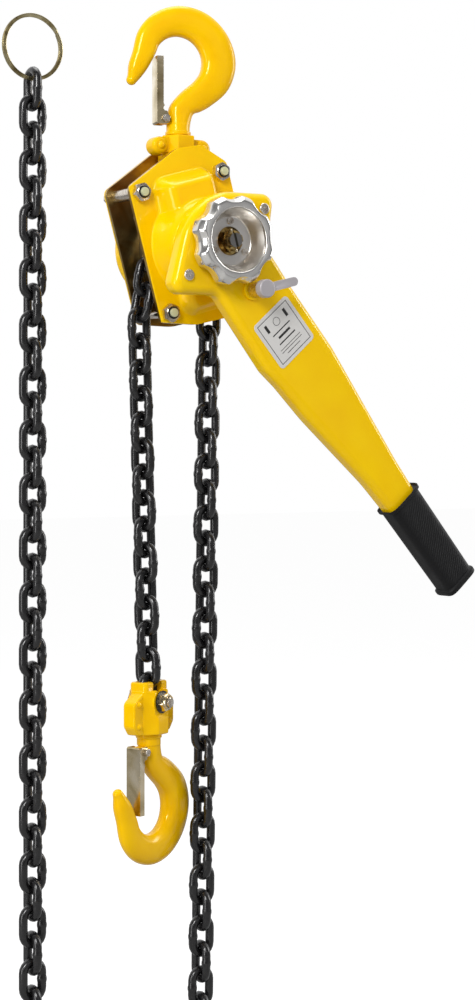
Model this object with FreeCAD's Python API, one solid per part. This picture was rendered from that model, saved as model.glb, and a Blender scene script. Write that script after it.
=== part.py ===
import FreeCAD, Part
import math
import os
from FreeCAD import Vector

# Lever chain hoist, 1.5 t class. Millimetres and degrees, +Z up, -Y is the hand wheel side.
# The origin is the bearing point of the top hook, where the hoist hangs from.

# ---- hoist body, in its own upright frame with the drive shaft's axis at x = 0, z = 0 ----
hang_angle = 16.0            # lean of the body under the top pin, lever side up
pin_drop = 121.9             # hook bearing point to top pin
pin_x, pin_z = 16.1, 72.5    # top pin from the drive shaft
pin_r = 6.0
plate_gap = 38.0             # clear width between the two side plates
plate_t = 3.0
cover_t = 2.0                # pressed steel of both covers
body_half_w = 54.5
shoulder_z = 67.5            # upper corners of the plates
apex_rise = 23.0             # plate top above the shoulders
apex_left, apex_right = 5.0, 31.0
foot_z = 59.0                # lower corners below the shaft
belly_drop = 13.0
corner_r = 7.0
stay_x = 44.4                # stay bolts from the shaft
stay_top_z = 60.0
stay_low_z = 52.5
stay_top_r = 5.75
stay_low_r = 4.0
stay_thread_r = 4.0
nut_af = 15.5
nut_h = 7.0
thread_out = 2.0             # thread standing out of a nut
stripper_r = 0.9             # bent wire that keeps the chain on the sheave
stripper_path = [            # x, z and distance from the brake side plate
    (-50.6, 38.5, 0.0), (-50.6, 38.5, 5.5), (-48.8, 35.5, 7.5), (-47.4, 20.0, 7.5), (-46.4, 18.8, 7.5),
]
hole_gap = 0.1               # bolt in its hole, on the radius
run_gap = 0.05               # running fit of a shaft, on the radius

# ---- brake cover and gear cover ----
drum_r = 48.0
drum_depth = 30.0
drum_round = 9.0
chest_left, chest_right, chest_top = -31.0, 34.0, 70.0
chest_depth = 22.0
belly_half, belly_low, belly_depth = 30.0, 62.0, 13.0
chest_round = 11.0
gear_drum_r = 46.5
gear_drum_depth = 28.0
gear_drum_round = 8.0

# ---- load sheave and load chain, 8 x 24 mm ----
wire_d = 8.0
pitch = 24.0
link_in_w = 10.5             # clear width inside a link
link_play = 0.35             # play between two links in line
pockets = 4
sheave_r = 35.4
sheave_side = 0.5            # sheave to side plate
groove_gap = 0.7             # upright link in its groove, each side
pocket_gap = 0.5             # link to the floor of its pocket
pocket_side = 0.9            # link to the sides and ends of its pocket
sheave_phase = 158.3         # polar angle of the joint where the load fall leaves the sheave
stay_offset = 17.0           # chain line to the axis of the lower left stay that guides it
load_lean = 1.7              # load fall off plumb
load_links = 15
first_twist = 13.0           # twist of the load fall's first link; the last has the block's
slack_links = 80
slack_x_left = -151.8        # the fall that ends in the ring
loop_depth = 135.0           # height of the loop's half ellipse
slack_lean = 0.78
end_link_z = -45.5           # top of the last link of the slack end
ring_r = 28.2
ring_wire_w, ring_wire_t = 3.4, 1.7
ring_gap = 1.2

# ---- gear train: drive pinion, two disc gears, load gear ----
gear_centre = 24.0
pinion_teeth = 10
disc_teeth = 28
small_teeth = 10
load_teeth = 20
mesh_gap = 0.12
pressure = 25.0
gear_w = 8.0
gear_side = 0.6
gear_pin_r = 3.2
gear_boss_r = 6.0            # bearing bosses inside the gear cover

# ---- brake ----
shaft_r = 6.5
shaft_end_r = 4.0
journal_r = 12.0
bearing_r = 19.0
hub_r = 15.0
disc_t = 2.5
ratchet_t = 4.0
ratchet_teeth = 16
ratchet_depth = 3.4          # depth of its teeth
pawl_pin_dia_r = 3.0
pawl_eye_r = 5.0
pawl_wall_gap = 1.0          # pawl's eye to the inside of the drum
pawl_pin_r = drum_r - cover_t - pawl_eye_r - pawl_wall_gap
ratchet_r = pawl_pin_r - pawl_eye_r - 3.0
ratchet_root_r = ratchet_r - ratchet_depth
disc_r = ratchet_root_r - 1.6

# ---- lever, in its own frame with the grip straight down ----
lever_angle = 24.8           # lever from the body's own vertical
lever_back = -54.0
lever_depth = 22.0
lever_wall = 2.0
lever_round = 7.5
lever_end = 330.0
lug_t = 51.3
lug_turn = 2.5               # line of the two screws from square to the lever
lever_hole_r = 26.0
grip_from, grip_to = 306.0, 417.0
grip_half_top, grip_half_end = 20.5, 19.0
grip_depth = 27.0
plate_s, plate_t_pos, label_w, label_h, label_thick = 101.5, -5.0, 48.0, 50.0, 0.4
selector_s, selector_t = 50.3, -7.0
selector_pin_r = 4.5
selector_boss_r = 7.0
selector_knob_r = 8.3
selector_arm = 35.0
selector_arm_dip = 26.8      # arm below the line across the lever
change_r, change_w = 21.0, 12.0
change_teeth = 12

# ---- hand wheel ----
wheel_r = 40.5
wheel_depth = 20.0
wheel_lobes = 8
wheel_turn = 9.9             # rest angle of the wheel
wheel_scallop_r = 14.0
wheel_scallop = 4.2
wheel_round = 4.0            # front edge of the lobes
wheel_gap = 2.0              # wheel to lever
cup_r_front, cup_r_floor = 31.0, 24.3
wheel_floor = 2.5
wheel_hole_r = 12.9
wheel_screw_r = 18.0

# ---- hooks ----
bowl_r = 23.3
neck_r = 11.0
neck_bead_r, neck_bead_h = 12.0, 3.2
shank_r = 8.0
head_r = 12.0
head_h = 7.0
head_seat = 6.2              # yoke wall that the hook's head bears on
neck_end = 92.2              # bearing point to the end of the neck
yoke_gap = 0.6               # neck to yoke
hook_turn = -14.0            # swivel of the top hook
lower_turn = 25.0            # swivel of the whole lower block
lower_hook_turn = 21.0       # swivel of the hook under it
tip_end = (-45.0, -42.6)     # centre of the rounded end of the tip
tip_end_r = 4.9
latch_pin = (-14.5, -77.5)
latch_t = 1.4
latch_w = 16.0
latch_left = -22.6           # outer face of the latch
latch_flange = 6.3
latch_top = -20.0
latch_ear_r = 4.8
latch_bolt_r = 2.0
latch_head_af = 6.5
latch_head_gap = 0.1         # bolt head and nut to the latch
lug_half = 4.0
lug_r = 4.6

# ---- top yoke ----
yoke_r = 17.0                # hexagonal column, to its corners
ear_x, ear_drop, ear_r, ear_half = 23.0, 10.5, 8.3, 8.5
yoke_rivet_r = 3.0

# ---- lower block, from the chain bolt ----
chain_bolt_r = 4.5
block_top, block_low = 18.5, -29.8
core_x, core_side = 19.0, 6.5
core_nose, core_y = 8.0, 16.5
block_boss = 14.2            # half length of the boss along the chain bolt
boss_r = 12.5
spot_low = -13.0             # lower end of the flat round the boss, sloping outwards
wing_x, wing_y = 32.0, 6.5
block_rivet_x, block_rivet_r = 25.0, 2.2
washer_r = 10.4
chain_nut_af = 15.0

centre = Vector(0, 0, 0)
axis_x, axis_y, axis_z = Vector(1, 0, 0), Vector(0, 1, 0), Vector(0, 0, 1)
inner_y = plate_gap / 2
outer_y = inner_y + plate_t
flange_y = outer_y + cover_t
lever_front = lever_back - lever_depth


# ---------------------------------------------------------------- helpers
def cylinder(r, y0, y1, x=0.0, z=0.0):
    """Cylinder along Y."""
    return Part.makeCylinder(r, y1 - y0, Vector(x, y0, z), axis_y)


def tube(outer, inner, y0, y1, x=0.0, z=0.0):
    return cylinder(outer, y0, y1, x, z).cut(cylinder(inner, y0 - 1, y1 + 1, x, z))


def post(r, z0, z1, x=0.0, y=0.0):
    """Cylinder along Z."""
    return Part.makeCylinder(r, z1 - z0, Vector(x, y, z0), axis_z)


def box(x0, x1, y0, y1, z0, z1):
    return Part.makeBox(x1 - x0, y1 - y0, z1 - z0, Vector(x0, y0, z0))


def rounded_wire(corners):
    """Closed outline in the XZ plane from (x, z, radius) corners."""
    points = [Vector(x, 0, z) for x, z, _ in corners]
    count = len(points)
    starts, ends, middles = [], [], []
    for i, point in enumerate(points):
        to_last = (points[i - 1] - point).normalize()
        to_next = (points[(i + 1) % count] - point).normalize()
        half = to_last.getAngle(to_next) / 2
        radius = corners[i][2]
        reach = radius / math.tan(half)
        inward = (to_last + to_next).normalize()
        starts.append(point + to_last * reach)
        ends.append(point + to_next * reach)
        middles.append(point + inward * (radius / math.sin(half) - radius))
    edges = []
    for i in range(count):
        edges.append(Part.Arc(starts[i], middles[i], ends[i]).toShape())
        edges.append(Part.LineSegment(ends[i], starts[(i + 1) % count]).toShape())
    return Part.Wire(edges)


def prism(wire, y0, y1):
    face = Part.Face(wire)
    face.translate(Vector(0, y0, 0))
    return face.extrude(Vector(0, y1 - y0, 0))


def polygon_prism(points, y0, y1):
    wire = Part.makePolygon([Vector(x, 0, z) for x, z in points + points[:1]])
    return prism(wire, y0, y1)


def edges_at(shape, y):
    """Edges that lie wholly in the plane at this y."""
    found = []
    for edge in shape.Edges:
        bounds = edge.BoundBox
        if abs(bounds.YMin - y) < 1e-4 and abs(bounds.YMax - y) < 1e-4:
            found.append(edge)
    return found


def round_front(shape, y, radius):
    return shape.makeFillet(radius, edges_at(shape, y))


def hexagon(af, y0, y1, x=0.0, z=0.0, turn=0.0):
    tip = af / math.sqrt(3)
    points = []
    for i in range(6):
        angle = math.radians(60 * i + turn)
        points.append((x + tip * math.cos(angle), z + tip * math.sin(angle)))
    return polygon_prism(points, y0, y1)


def nut(af, bore, y0, y1, x=0.0, z=0.0, turn=0.0):
    """Hexagon nut with its corners turned off at both faces."""
    body = hexagon(af, y0, y1, x, z, turn)
    dome = cylinder(af * 0.56, y0, y1, x, z)
    dome = dome.makeChamfer(af * 0.06, edges_at(dome, y0) + edges_at(dome, y1))
    return body.common(dome).cut(cylinder(bore, y0 - 1, y1 + 1, x, z))


def pan_screw(x, z, y_face, head_r, head_h, shank, reach):
    """Cross-recess screw whose head stands on the face at y_face and points to -Y."""
    head = cylinder(head_r, y_face - head_h, y_face, x, z)
    head = head.makeFillet(head_h * 0.6, edges_at(head, y_face - head_h))
    arm = head_r * 0.6
    top, bottom = y_face - head_h - 1, y_face - head_h * 0.5
    for wide, tall in ((arm, arm * 0.25), (arm * 0.25, arm)):
        head = head.cut(box(x - wide, x + wide, top, bottom, z - tall, z + tall))
    return head.fuse(cylinder(shank, y_face, y_face + reach, x, z)).removeSplitter()


def turned(shape, angle, axis, point=centre):
    copy = shape.copy()
    copy.rotate(point, axis, angle)
    return copy


def moved(shape, x=0.0, y=0.0, z=0.0):
    copy = shape.copy()
    copy.translate(Vector(x, y, z))
    return copy


def body_point(x, z, y=0.0):
    """A point of the upright body frame, in the part's frame."""
    point = Vector(x - pin_x, y, z - pin_z)
    rotation = FreeCAD.Rotation(axis_y, -hang_angle)
    return rotation.multVec(point) + Vector(0, 0, -pin_drop)


def hang(shape):
    """Takes a shape from the upright body frame to its place under the top pin."""
    copy = moved(shape, -pin_x, 0, -pin_z)
    copy.rotate(centre, axis_y, -hang_angle)
    copy.translate(Vector(0, 0, -pin_drop))
    return copy


def swing(shape):
    """Takes a shape from the lever's frame (x across, grip towards -z) to its place."""
    return hang(turned(shape, -lever_angle, axis_y))


def coil_spring(radius, wire, turns, y0, x, z):
    """Close-wound coil about an axis along Y, each turn pressed on the next."""
    coil = None
    for i in range(turns):
        place = Vector(x, y0 + wire / 2 + wire * 0.92 * i, z)
        ring = Part.makeTorus(radius, wire / 2, place, axis_y)
        coil = ring if coil is None else coil.fuse(ring)
    return coil


def rod(radius, start, end):
    way = end - start
    return Part.makeCylinder(radius, way.Length, start, way)


def column(points, z0, z1):
    """Upright prism over an outline in the XY plane."""
    wire = Part.makePolygon([Vector(x, y, z0) for x, y in points + points[:1]])
    return Part.Face(wire).extrude(Vector(0, 0, z1 - z0))


# ---------------------------------------------------------------- gears and ratchet
def involute(angle):
    return math.tan(angle) - angle


def gear(teeth, module, y0, y1, turn=0.0):
    """Spur gear with straight-sided teeth rounded to the involute by short chords."""
    base = module * teeth / 2 * math.cos(math.radians(pressure))
    tip = module * (teeth / 2 + 0.8)
    root = module * (teeth / 2 - 1.05)
    at_pitch = math.pi / (2 * teeth) + involute(math.radians(pressure)) - mesh_gap / (module * teeth)
    points = []
    for i in range(teeth):
        middle = math.radians(turn) + 2 * math.pi * i / teeth
        flank = []
        for k in range(5):
            radius = max(base, root) + (tip - max(base, root)) * k / 4
            half = at_pitch - involute(math.acos(min(1.0, base / radius)))
            flank.append((radius, half))
        flank.insert(0, (root, flank[0][1]))
        for radius, half in flank:
            points.append((radius * math.cos(middle - half), radius * math.sin(middle - half)))
        for radius, half in reversed(flank):
            points.append((radius * math.cos(middle + half), radius * math.sin(middle + half)))
    return polygon_prism(points, y0, y1)


def ratchet_points():
    points = []
    for i in range(ratchet_teeth):
        angle = 2 * math.pi * i / ratchet_teeth
        for radius in (ratchet_root_r, ratchet_r):
            points.append((radius * math.cos(angle), radius * math.sin(angle)))
    return points


# ---------------------------------------------------------------- chain
link_bend_r = (link_in_w + wire_d) / 2
link_inside = pitch + link_play
leg_half = (link_inside - link_in_w) / 2
near_joint = pitch / 2 - link_in_w / 2      # link centre to the joint in the link's own plane
far_joint = pitch - near_joint              # link centre to the joint across its plane
joint_ring_r = math.sqrt(
    near_joint ** 2 + far_joint ** 2
    + 2 * near_joint * far_joint * math.cos(math.pi / pockets)
) / math.sin(math.pi / pockets)


def chain_link():
    """Oval link standing in the XZ plane, bent from round wire."""
    wire_r = wire_d / 2
    bend = Part.makeTorus(link_bend_r, wire_r, Vector(0, 0, leg_half), axis_y, 0, 360)
    bend = bend.common(box(-50, 50, -10, 10, leg_half, leg_half + 50))
    shape = bend.fuse(turned(bend, 180, axis_y))
    for side in (-link_bend_r, link_bend_r):
        shape = shape.fuse(post(wire_r, -leg_half, leg_half, side))
    return shape.removeSplitter()


def place_link(link, start, end, flat, twist=0.0):
    """Puts a link between two joints; a flat link is turned a quarter about its length."""
    copy = turned(link, (90 if flat else 0) + twist, axis_z)
    along = start - end
    copy.rotate(centre, axis_y, math.degrees(math.atan2(along.x, along.z)))
    copy.translate((start + end) * 0.5)
    return copy


def span(flat):
    return 2 * (far_joint if flat else near_joint)


def straight_joints(start, direction, flats):
    joints = [start]
    for flat in flats:
        joints.append(joints[-1] + direction * span(flat))
    return joints


def link_run(link, joints, flats, twists=None):
    solids = []
    for i, flat in enumerate(flats):
        twist = twists[i] if twists else 0.0
        solids.append(place_link(link, joints[i], joints[i + 1], flat, twist))
    return Part.makeCompound(solids)


def polar(angle):
    shaft = body_point(0, 0)
    turn = math.radians(angle)
    return shaft + Vector(math.cos(turn), 0, math.sin(turn)) * joint_ring_r


def seated_joints():
    """Joints of the links that lie on the sheave, from the load side over the top."""
    upright = 2 * math.degrees(math.asin(near_joint / joint_ring_r))
    flat = 360 / pockets - upright
    angles = [sheave_phase]
    for step in (upright, flat, upright, flat):
        angles.append(angles[-1] - step)
    return [polar(angle) for angle in angles]


def slack_path(bottom_z, exit_point):
    """Slack loop as a function of 0..1: down the exit fall, round a half ellipse, up to the ring."""
    lean = math.tan(math.radians(slack_lean))
    loop_top = bottom_z + loop_depth
    x_right = exit_point.x - (exit_point.z - loop_top) * lean
    down = exit_point.z - loop_top
    up = end_link_z - loop_top
    total = down + 2 * loop_depth + up

    def point(t):
        way = t * total
        if way < down:
            return Vector(exit_point.x - way * lean, 0, exit_point.z - way)
        if way < down + 2 * loop_depth:
            turn = math.pi * (way - down) / (2 * loop_depth)
            half = (x_right - slack_x_left) / 2
            across = slack_x_left + half + half * math.cos(turn)
            return Vector(across, 0, loop_top - loop_depth * math.sin(turn))
        return Vector(slack_x_left, 0, loop_top + way - down - 2 * loop_depth)
    return point



def walk(path, flats):
    """Joints along a path, each a link's own span from the last."""
    joints = [path(0.0)]
    place = 0.0
    for flat in flats:
        low, high = place, place + 0.2
        for _ in range(40):
            middle = (low + high) / 2
            if (path(middle) - joints[-1]).Length < span(flat):
                low = middle
            else:
                high = middle
        place = low
        joints.append(path(place))
    return joints


# ---------------------------------------------------------------- hooks
def squarer(value, power):
    return math.copysign(abs(value) ** power, value)


def oval(point, across, thick, wide, power=0.82):
    """Closed section: thick along the direction across, wide along Y, a little squared."""
    points = []
    for i in range(16):
        angle = 2 * math.pi * i / 16
        c, s = squarer(math.cos(angle), power), squarer(math.sin(angle), power)
        points.append(point + across * (thick * c) + axis_y * (wide * s))
    curve = Part.BSplineCurve()
    curve.interpolate(points, PeriodicFlag=True)
    return Part.Wire(curve.toShape())


def hook_body():
    """Forged hook in the XZ plane, bearing point at the origin, neck straight down."""
    bowl = Vector(0, 0, -bowl_r)
    sections = [
        oval(Vector(0.3, 0, -86.0), axis_x, neck_r - 0.8, neck_r - 0.8, 1.0),
        oval(Vector(3.0, 0, -69.0), Vector(0.97, 0, -0.24), 11.9, 9.3),
        oval(Vector(11.0, 0, -61.5), Vector(0.83, 0, -0.56), 13.0, 9.3),
    ]
    thickness = ((-50, 27.5), (-26, 31.0), (0, 33.0), (30, 32.0), (60, 30.5), (90, 28.5),
                 (120, 26.0), (145, 23.5), (168, 21.0))
    for angle, thick in thickness:
        turn = math.radians(angle)
        out = Vector(math.cos(turn), 0, math.sin(turn))
        wide = 10.3 - 2.3 * max(0, angle) / 168 - 0.7 * max(0, -26 - angle) / 24
        sections.append(oval(bowl + out * (bowl_r + thick / 2), out, thick / 2, wide))
    sections.append(oval(Vector(-40.3, 0, -32.5), Vector(-0.93, 0, 0.37), 8.2, 7.2))
    end = Vector(tip_end[0], 0, tip_end[1])
    sections.append(oval(end, Vector(-0.86, 0, 0.51), tip_end_r, tip_end_r, 1.0))
    body = Part.makeLoft(sections, True, False).fuse(Part.makeSphere(tip_end_r, end))
    neck = post(neck_r, -neck_end, -82.0)
    neck = neck.makeChamfer(0.6, [e for e in neck.Edges if e.BoundBox.ZMin > -83])
    bead = post(neck_bead_r, -neck_end, -neck_end + neck_bead_h)
    neck = neck.fuse(bead.makeFillet(1.2, [e for e in bead.Edges if e.BoundBox.ZMin > -neck_end + 1]))
    x_pin, z_pin = latch_pin
    lug = cylinder(lug_r, -lug_half, lug_half, x_pin, z_pin)
    lug = lug.fuse(box(x_pin, x_pin + 11, -lug_half, lug_half, z_pin - lug_r, z_pin + lug_r))
    head_top = -neck_end - yoke_gap - head_seat
    shank = post(shank_r, head_top - 1, -neck_end + 1)
    head = post(head_r, head_top - head_h, head_top)
    room = cylinder(latch_ear_r + 0.5, -20, 20, x_pin, z_pin)
    shape = body.fuse(neck).cut(room).fuse(lug).fuse(shank).fuse(head)
    return shape.cut(cylinder(latch_bolt_r + hole_gap, -20, 20, x_pin, z_pin))


def hook_latch():
    """Pressed channel with round ears that closes the mouth from inside the tip."""
    x_pin, z_pin = latch_pin
    half = latch_w / 2
    edge = latch_left + latch_flange
    side = [
        (latch_left, latch_top), (latch_left, z_pin - latch_ear_r + 1.5),
        (latch_left + 1.5, z_pin - latch_ear_r), (x_pin, z_pin - latch_ear_r),
        (x_pin + latch_ear_r, z_pin), (edge, z_pin + 14), (edge, latch_top),
    ]
    shape = polygon_prism(side, -half, half).fuse(cylinder(latch_ear_r, -half, half, x_pin, z_pin))
    shape = shape.cut(cylinder(2.5, -20, 20, edge + 2.4, z_pin + 9.5))
    hollow = box(latch_left + latch_t, 20, -half + latch_t, half - latch_t, z_pin - 20, latch_top + 1)
    shape = shape.cut(hollow)
    return shape.cut(cylinder(latch_bolt_r + hole_gap, -20, 20, x_pin, z_pin)).removeSplitter()


def latch_bolt():
    face = latch_w / 2 + latch_head_gap
    x_pin, z_pin = latch_pin
    bolt = cylinder(latch_bolt_r, -face - 4.0, face + 3.0, x_pin, z_pin)
    bolt = bolt.fuse(hexagon(latch_head_af, face, face + 3.0, x_pin, z_pin))
    return bolt.fuse(hexagon(latch_head_af, -face - 3.2, -face, x_pin, z_pin, 15)).removeSplitter()


def latch_spring():
    """Torsion spring beside the lug, with one leg up the inside of the latch."""
    x_pin, z_pin = latch_pin
    radius, wire = 3.0, 0.9
    coil_y = -latch_w / 2 + latch_t + 0.25
    coil = coil_spring(radius, wire, 2, coil_y, x_pin, z_pin)
    start = Vector(x_pin - radius, coil_y + wire / 2, z_pin)
    end = Vector(latch_left + latch_t + wire / 2 + 0.25, coil_y + wire / 2, z_pin + 15)
    return coil.fuse(rod(wire / 2, start, end))


# ---------------------------------------------------------------- frame
def plate_outline():
    return rounded_wire([
        (-body_half_w, shoulder_z, corner_r),
        (apex_left, shoulder_z + apex_rise, 16.0),
        (apex_right, shoulder_z + apex_rise - 2.0, 12.0),
        (body_half_w, shoulder_z, corner_r),
        (body_half_w, -foot_z, corner_r + 2),
        (body_half_w * 0.35, -foot_z - belly_drop, 30.0),
        (-body_half_w * 0.35, -foot_z - belly_drop + 2.0, 30.0),
        (-body_half_w, -foot_z, corner_r - 1),
    ])


def stay_places():
    return [
        (-stay_x, stay_top_z, stay_top_r), (stay_x, stay_top_z, stay_top_r),
        (-stay_x, -stay_low_z, stay_low_r), (stay_x, -stay_low_z, stay_low_r),
    ]


def drill_stays(shape, y0, y1):
    for x, z, _ in stay_places():
        shape = shape.cut(cylinder(stay_thread_r + hole_gap, y0 - 1, y1 + 1, x, z))
    return shape


def side_plate(y0, y1):
    plate = drill_stays(prism(plate_outline(), y0, y1), y0, y1)
    plate = plate.cut(cylinder(bearing_r, y0 - 1, y1 + 1))
    if y0 > 0:
        for x in (-gear_centre, gear_centre):
            plate = plate.cut(cylinder(gear_pin_r + run_gap, y0 - 1, y1 + 1, x, 0))
    return plate.cut(cylinder(pin_r, y0 - 1, y1 + 1, pin_x, pin_z))


def stay_bolts():
    bolts = []
    end = flange_y + nut_h + thread_out
    for x, z, r in stay_places():
        bolt = cylinder(stay_thread_r, -end, end, x, z).fuse(cylinder(r, -inner_y, inner_y, x, z))
        bolts.append(bolt.removeSplitter())
    return Part.makeCompound(bolts)


def stay_nuts(front):
    low, high = (-flange_y - nut_h, -flange_y) if front else (flange_y, flange_y + nut_h)
    return Part.makeCompound([
        nut(nut_af, stay_thread_r + hole_gap, low, high, x, z, 12.0 * i)
        for i, (x, z, _) in enumerate(stay_places())
    ])


def chest(inset):
    """Outer or inner form of the brake cover's bulge, inset by a wall."""
    front = -outer_y - drum_depth + inset
    drum = round_front(cylinder(drum_r - inset, front, -outer_y), front, drum_round - inset)
    front = -outer_y - chest_depth + inset
    upper = box(chest_left + inset, chest_right - inset, front, -outer_y, 0, chest_top - inset)
    lower = box(-belly_half + inset, belly_half - inset, -outer_y - belly_depth + inset, -outer_y,
                -belly_low + inset, 0)
    radius = chest_round - inset
    upper = upper.makeFillet(radius, [e for e in upper.Edges if e.BoundBox.YMin < front + 1e-4
                                      or (e.BoundBox.ZMin > 1 and e.BoundBox.YLength > 1)])
    lower = lower.makeFillet(radius, [e for e in lower.Edges
                                      if e.BoundBox.YMin < -outer_y - belly_depth + inset + 1e-4
                                      or (e.BoundBox.ZMax < -1 and e.BoundBox.YLength > 1)])
    return drum.fuse(upper).fuse(lower)


def brake_cover():
    flange = prism(plate_outline(), -flange_y, -outer_y)
    cover = flange.fuse(chest(0.0)).cut(chest(cover_t))
    cover = cover.cut(cylinder(hub_r + 3.5, -outer_y - drum_depth - 1, 0))
    return drill_stays(cover, -flange_y, -outer_y)


def gear_cover():
    flange = prism(plate_outline(), outer_y, flange_y)
    back = outer_y + gear_drum_depth
    drum = round_front(cylinder(gear_drum_r, outer_y, back), back, gear_drum_round)
    back -= cover_t
    hollow = cylinder(gear_drum_r - cover_t, outer_y - 1, back)
    hollow = round_front(hollow, back, gear_drum_round - cover_t)
    cover = flange.fuse(drum).cut(hollow)
    for x, bore in ((-gear_centre, gear_pin_r), (0.0, shaft_end_r), (gear_centre, gear_pin_r)):
        cover = cover.fuse(cylinder(gear_boss_r + 0.5, gear_back + gear_side, back + 0.5, x))
        cover = cover.cut(cylinder(bore + run_gap, gear_back - 1, back - 0.4, x))
    return drill_stays(cover, outer_y, flange_y)


def top_pin():
    return cylinder(pin_r, -outer_y, outer_y, pin_x, pin_z)


def chain_stripper():
    """Bent wire let into the brake side plate, its end beside the chain where it leaves the sheave."""
    points = [Vector(x, -inner_y + inward, z) for x, z, inward in stripper_path]
    wire = rod(stripper_r, points[0], points[1])
    for start, end in zip(points[1:], points[2:]):
        wire = wire.fuse(Part.makeSphere(stripper_r, start)).fuse(rod(stripper_r, start, end))
    return wire.fuse(Part.makeSphere(stripper_r, points[-1]))


def sheave_bearings():
    rings = []
    for y0, y1 in ((-outer_y, -inner_y), (inner_y, outer_y)):
        rings.append(tube(bearing_r, journal_r + run_gap, y0, y1))
    return Part.makeCompound(rings)


# ---------------------------------------------------------------- sheave and gears
def load_sheave():
    half = inner_y - sheave_side
    body = cylinder(sheave_r, -half, half)
    groove = wire_d / 2 + groove_gap
    floor = joint_ring_r * math.cos(math.asin(near_joint / joint_ring_r)) - link_bend_r - wire_d / 2 - 0.8
    body = body.cut(tube(sheave_r + 5, floor, -groove, groove))
    flat_r = joint_ring_r * math.cos(math.asin(far_joint / joint_ring_r))
    long_half = leg_half + link_bend_r + wire_d / 2 + pocket_side
    wide_half = link_bend_r + wire_d / 2 + pocket_side
    upright = 2 * math.degrees(math.asin(near_joint / joint_ring_r))
    flat = 360 / pockets - upright
    for i in range(pockets):
        bottom = flat_r - wire_d / 2 - pocket_gap
        pocket = box(bottom, sheave_r + 10, -wide_half, wide_half, -long_half, long_half)
        middle = sheave_phase + hang_angle * -1 + flat / 2 + 360 / pockets * i
        body = body.cut(turned(pocket, -middle, axis_y))
    journal = cylinder(journal_r, -outer_y - 1.0, outer_y + 1.0 + gear_w)
    body = body.fuse(journal).cut(cylinder(shaft_r + run_gap, -60, 60))
    return body.removeSplitter()


module_first = 2 * gear_centre / (pinion_teeth + disc_teeth)
module_second = 2 * gear_centre / (small_teeth + load_teeth)
load_gear_y = outer_y + 1.0
disc_gear_y = load_gear_y + gear_w + gear_side
gear_back = disc_gear_y + gear_w
pin_end_y = outer_y + gear_drum_depth - cover_t - 1.4


def load_gear():
    wheel = gear(load_teeth, module_second, load_gear_y, load_gear_y + gear_w)
    return wheel.cut(cylinder(journal_r, 0, 80))


def disc_gear(side):
    """Stepped gear: the large wheel meshes with the drive pinion, the small one with the load gear."""
    big_turn = 180 / disc_teeth if disc_teeth % 2 == 0 else 0
    big = gear(disc_teeth, module_first, disc_gear_y, gear_back, big_turn)
    small = gear(small_teeth, module_second, load_gear_y, load_gear_y + gear_w, 180 / small_teeth)
    pin = cylinder(gear_pin_r, inner_y + 0.4, pin_end_y)
    neck = cylinder(4.5, load_gear_y + gear_w - 0.1, disc_gear_y + 0.1)
    shape = big.fuse(small).fuse(pin).fuse(neck)
    return moved(shape, side * gear_centre)


def drive_shaft():
    front = wheel_front + 6.0
    shaft = cylinder(shaft_r, front, disc_gear_y - 0.3)
    pinion = gear(pinion_teeth, module_first, disc_gear_y - 0.3, gear_back)
    end = cylinder(shaft_end_r, gear_back, pin_end_y)
    shaft = shaft.fuse(pinion).fuse(end)
    slot = box(-1.2, 1.2, front - 1, front + 6, -20, 20)
    return shaft.cut(slot).removeSplitter()


# ---------------------------------------------------------------- brake
brake_y = -outer_y - 2.5
hub_flange_t = 3.0
first_disc_y = brake_y - hub_flange_t
ratchet_y = first_disc_y - disc_t
second_disc_y = ratchet_y - ratchet_t
change_hub_y = second_disc_y - disc_t


def brake_hub():
    hub = cylinder(hub_r - 2, change_hub_y, first_disc_y)
    flange = cylinder(disc_r, first_disc_y, brake_y)
    return hub.fuse(flange).cut(cylinder(shaft_r, -80, 0)).removeSplitter()


def friction_discs():
    discs = []
    for y in (ratchet_y, change_hub_y):
        discs.append(tube(disc_r, hub_r - 2 + 0.2, y, y + disc_t))
    return Part.makeCompound(discs)


def ratchet_disc():
    disc = polygon_prism(ratchet_points(), second_disc_y, ratchet_y)
    return disc.cut(cylinder(hub_r - 2 + run_gap, -80, 0))


def pawl_spots():
    """Angles of the tooth faces that the two pawls hold, and of their pins."""
    step = 360 / ratchet_teeth
    return [(step * 4, step * 4 - 33), (step * 12, step * 12 - 33)]


def ring_point(radius, angle):
    turn = math.radians(angle)
    return (radius * math.cos(turn), radius * math.sin(turn))


def pawl(face_angle, pin_angle):
    y0, y1 = second_disc_y + 0.3, ratchet_y - 0.3
    pin = ring_point(pawl_pin_r, pin_angle)
    tip_low = ring_point(ratchet_root_r + 0.7, face_angle - 1.0)
    tip_high = ring_point(ratchet_r + 3.0, face_angle - 1.0)
    eye_out = ring_point(pawl_pin_r + pawl_eye_r * 0.8, pin_angle + 2)
    eye_in = ring_point(pawl_pin_r - pawl_eye_r * 0.8, pin_angle + 2)
    arm = polygon_prism([tip_low, tip_high, eye_out, eye_in], y0, y1)
    shape = arm.fuse(cylinder(pawl_eye_r, y0, y1, *pin))
    return shape.cut(cylinder(pawl_pin_dia_r + run_gap, y0 - 1, y1 + 1, *pin)).removeSplitter()


def pawl_pins():
    pins = []
    for _, pin_angle in pawl_spots():
        x, z = ring_point(pawl_pin_r, pin_angle)
        pin = cylinder(pawl_pin_dia_r, second_disc_y - 3, -outer_y, x, z)
        collar = cylinder(pawl_pin_dia_r + 1.8, ratchet_y, -outer_y, x, z)
        pins.append(pin.fuse(collar).removeSplitter())
    return Part.makeCompound(pins)


def pawl_springs():
    coils = []
    for _, pin_angle in pawl_spots():
        x, z = ring_point(pawl_pin_r, pin_angle)
        coils.append(coil_spring(pawl_pin_dia_r + 0.55, 0.8, 2, second_disc_y - 2.2, x, z))
    return Part.makeCompound(coils)


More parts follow.
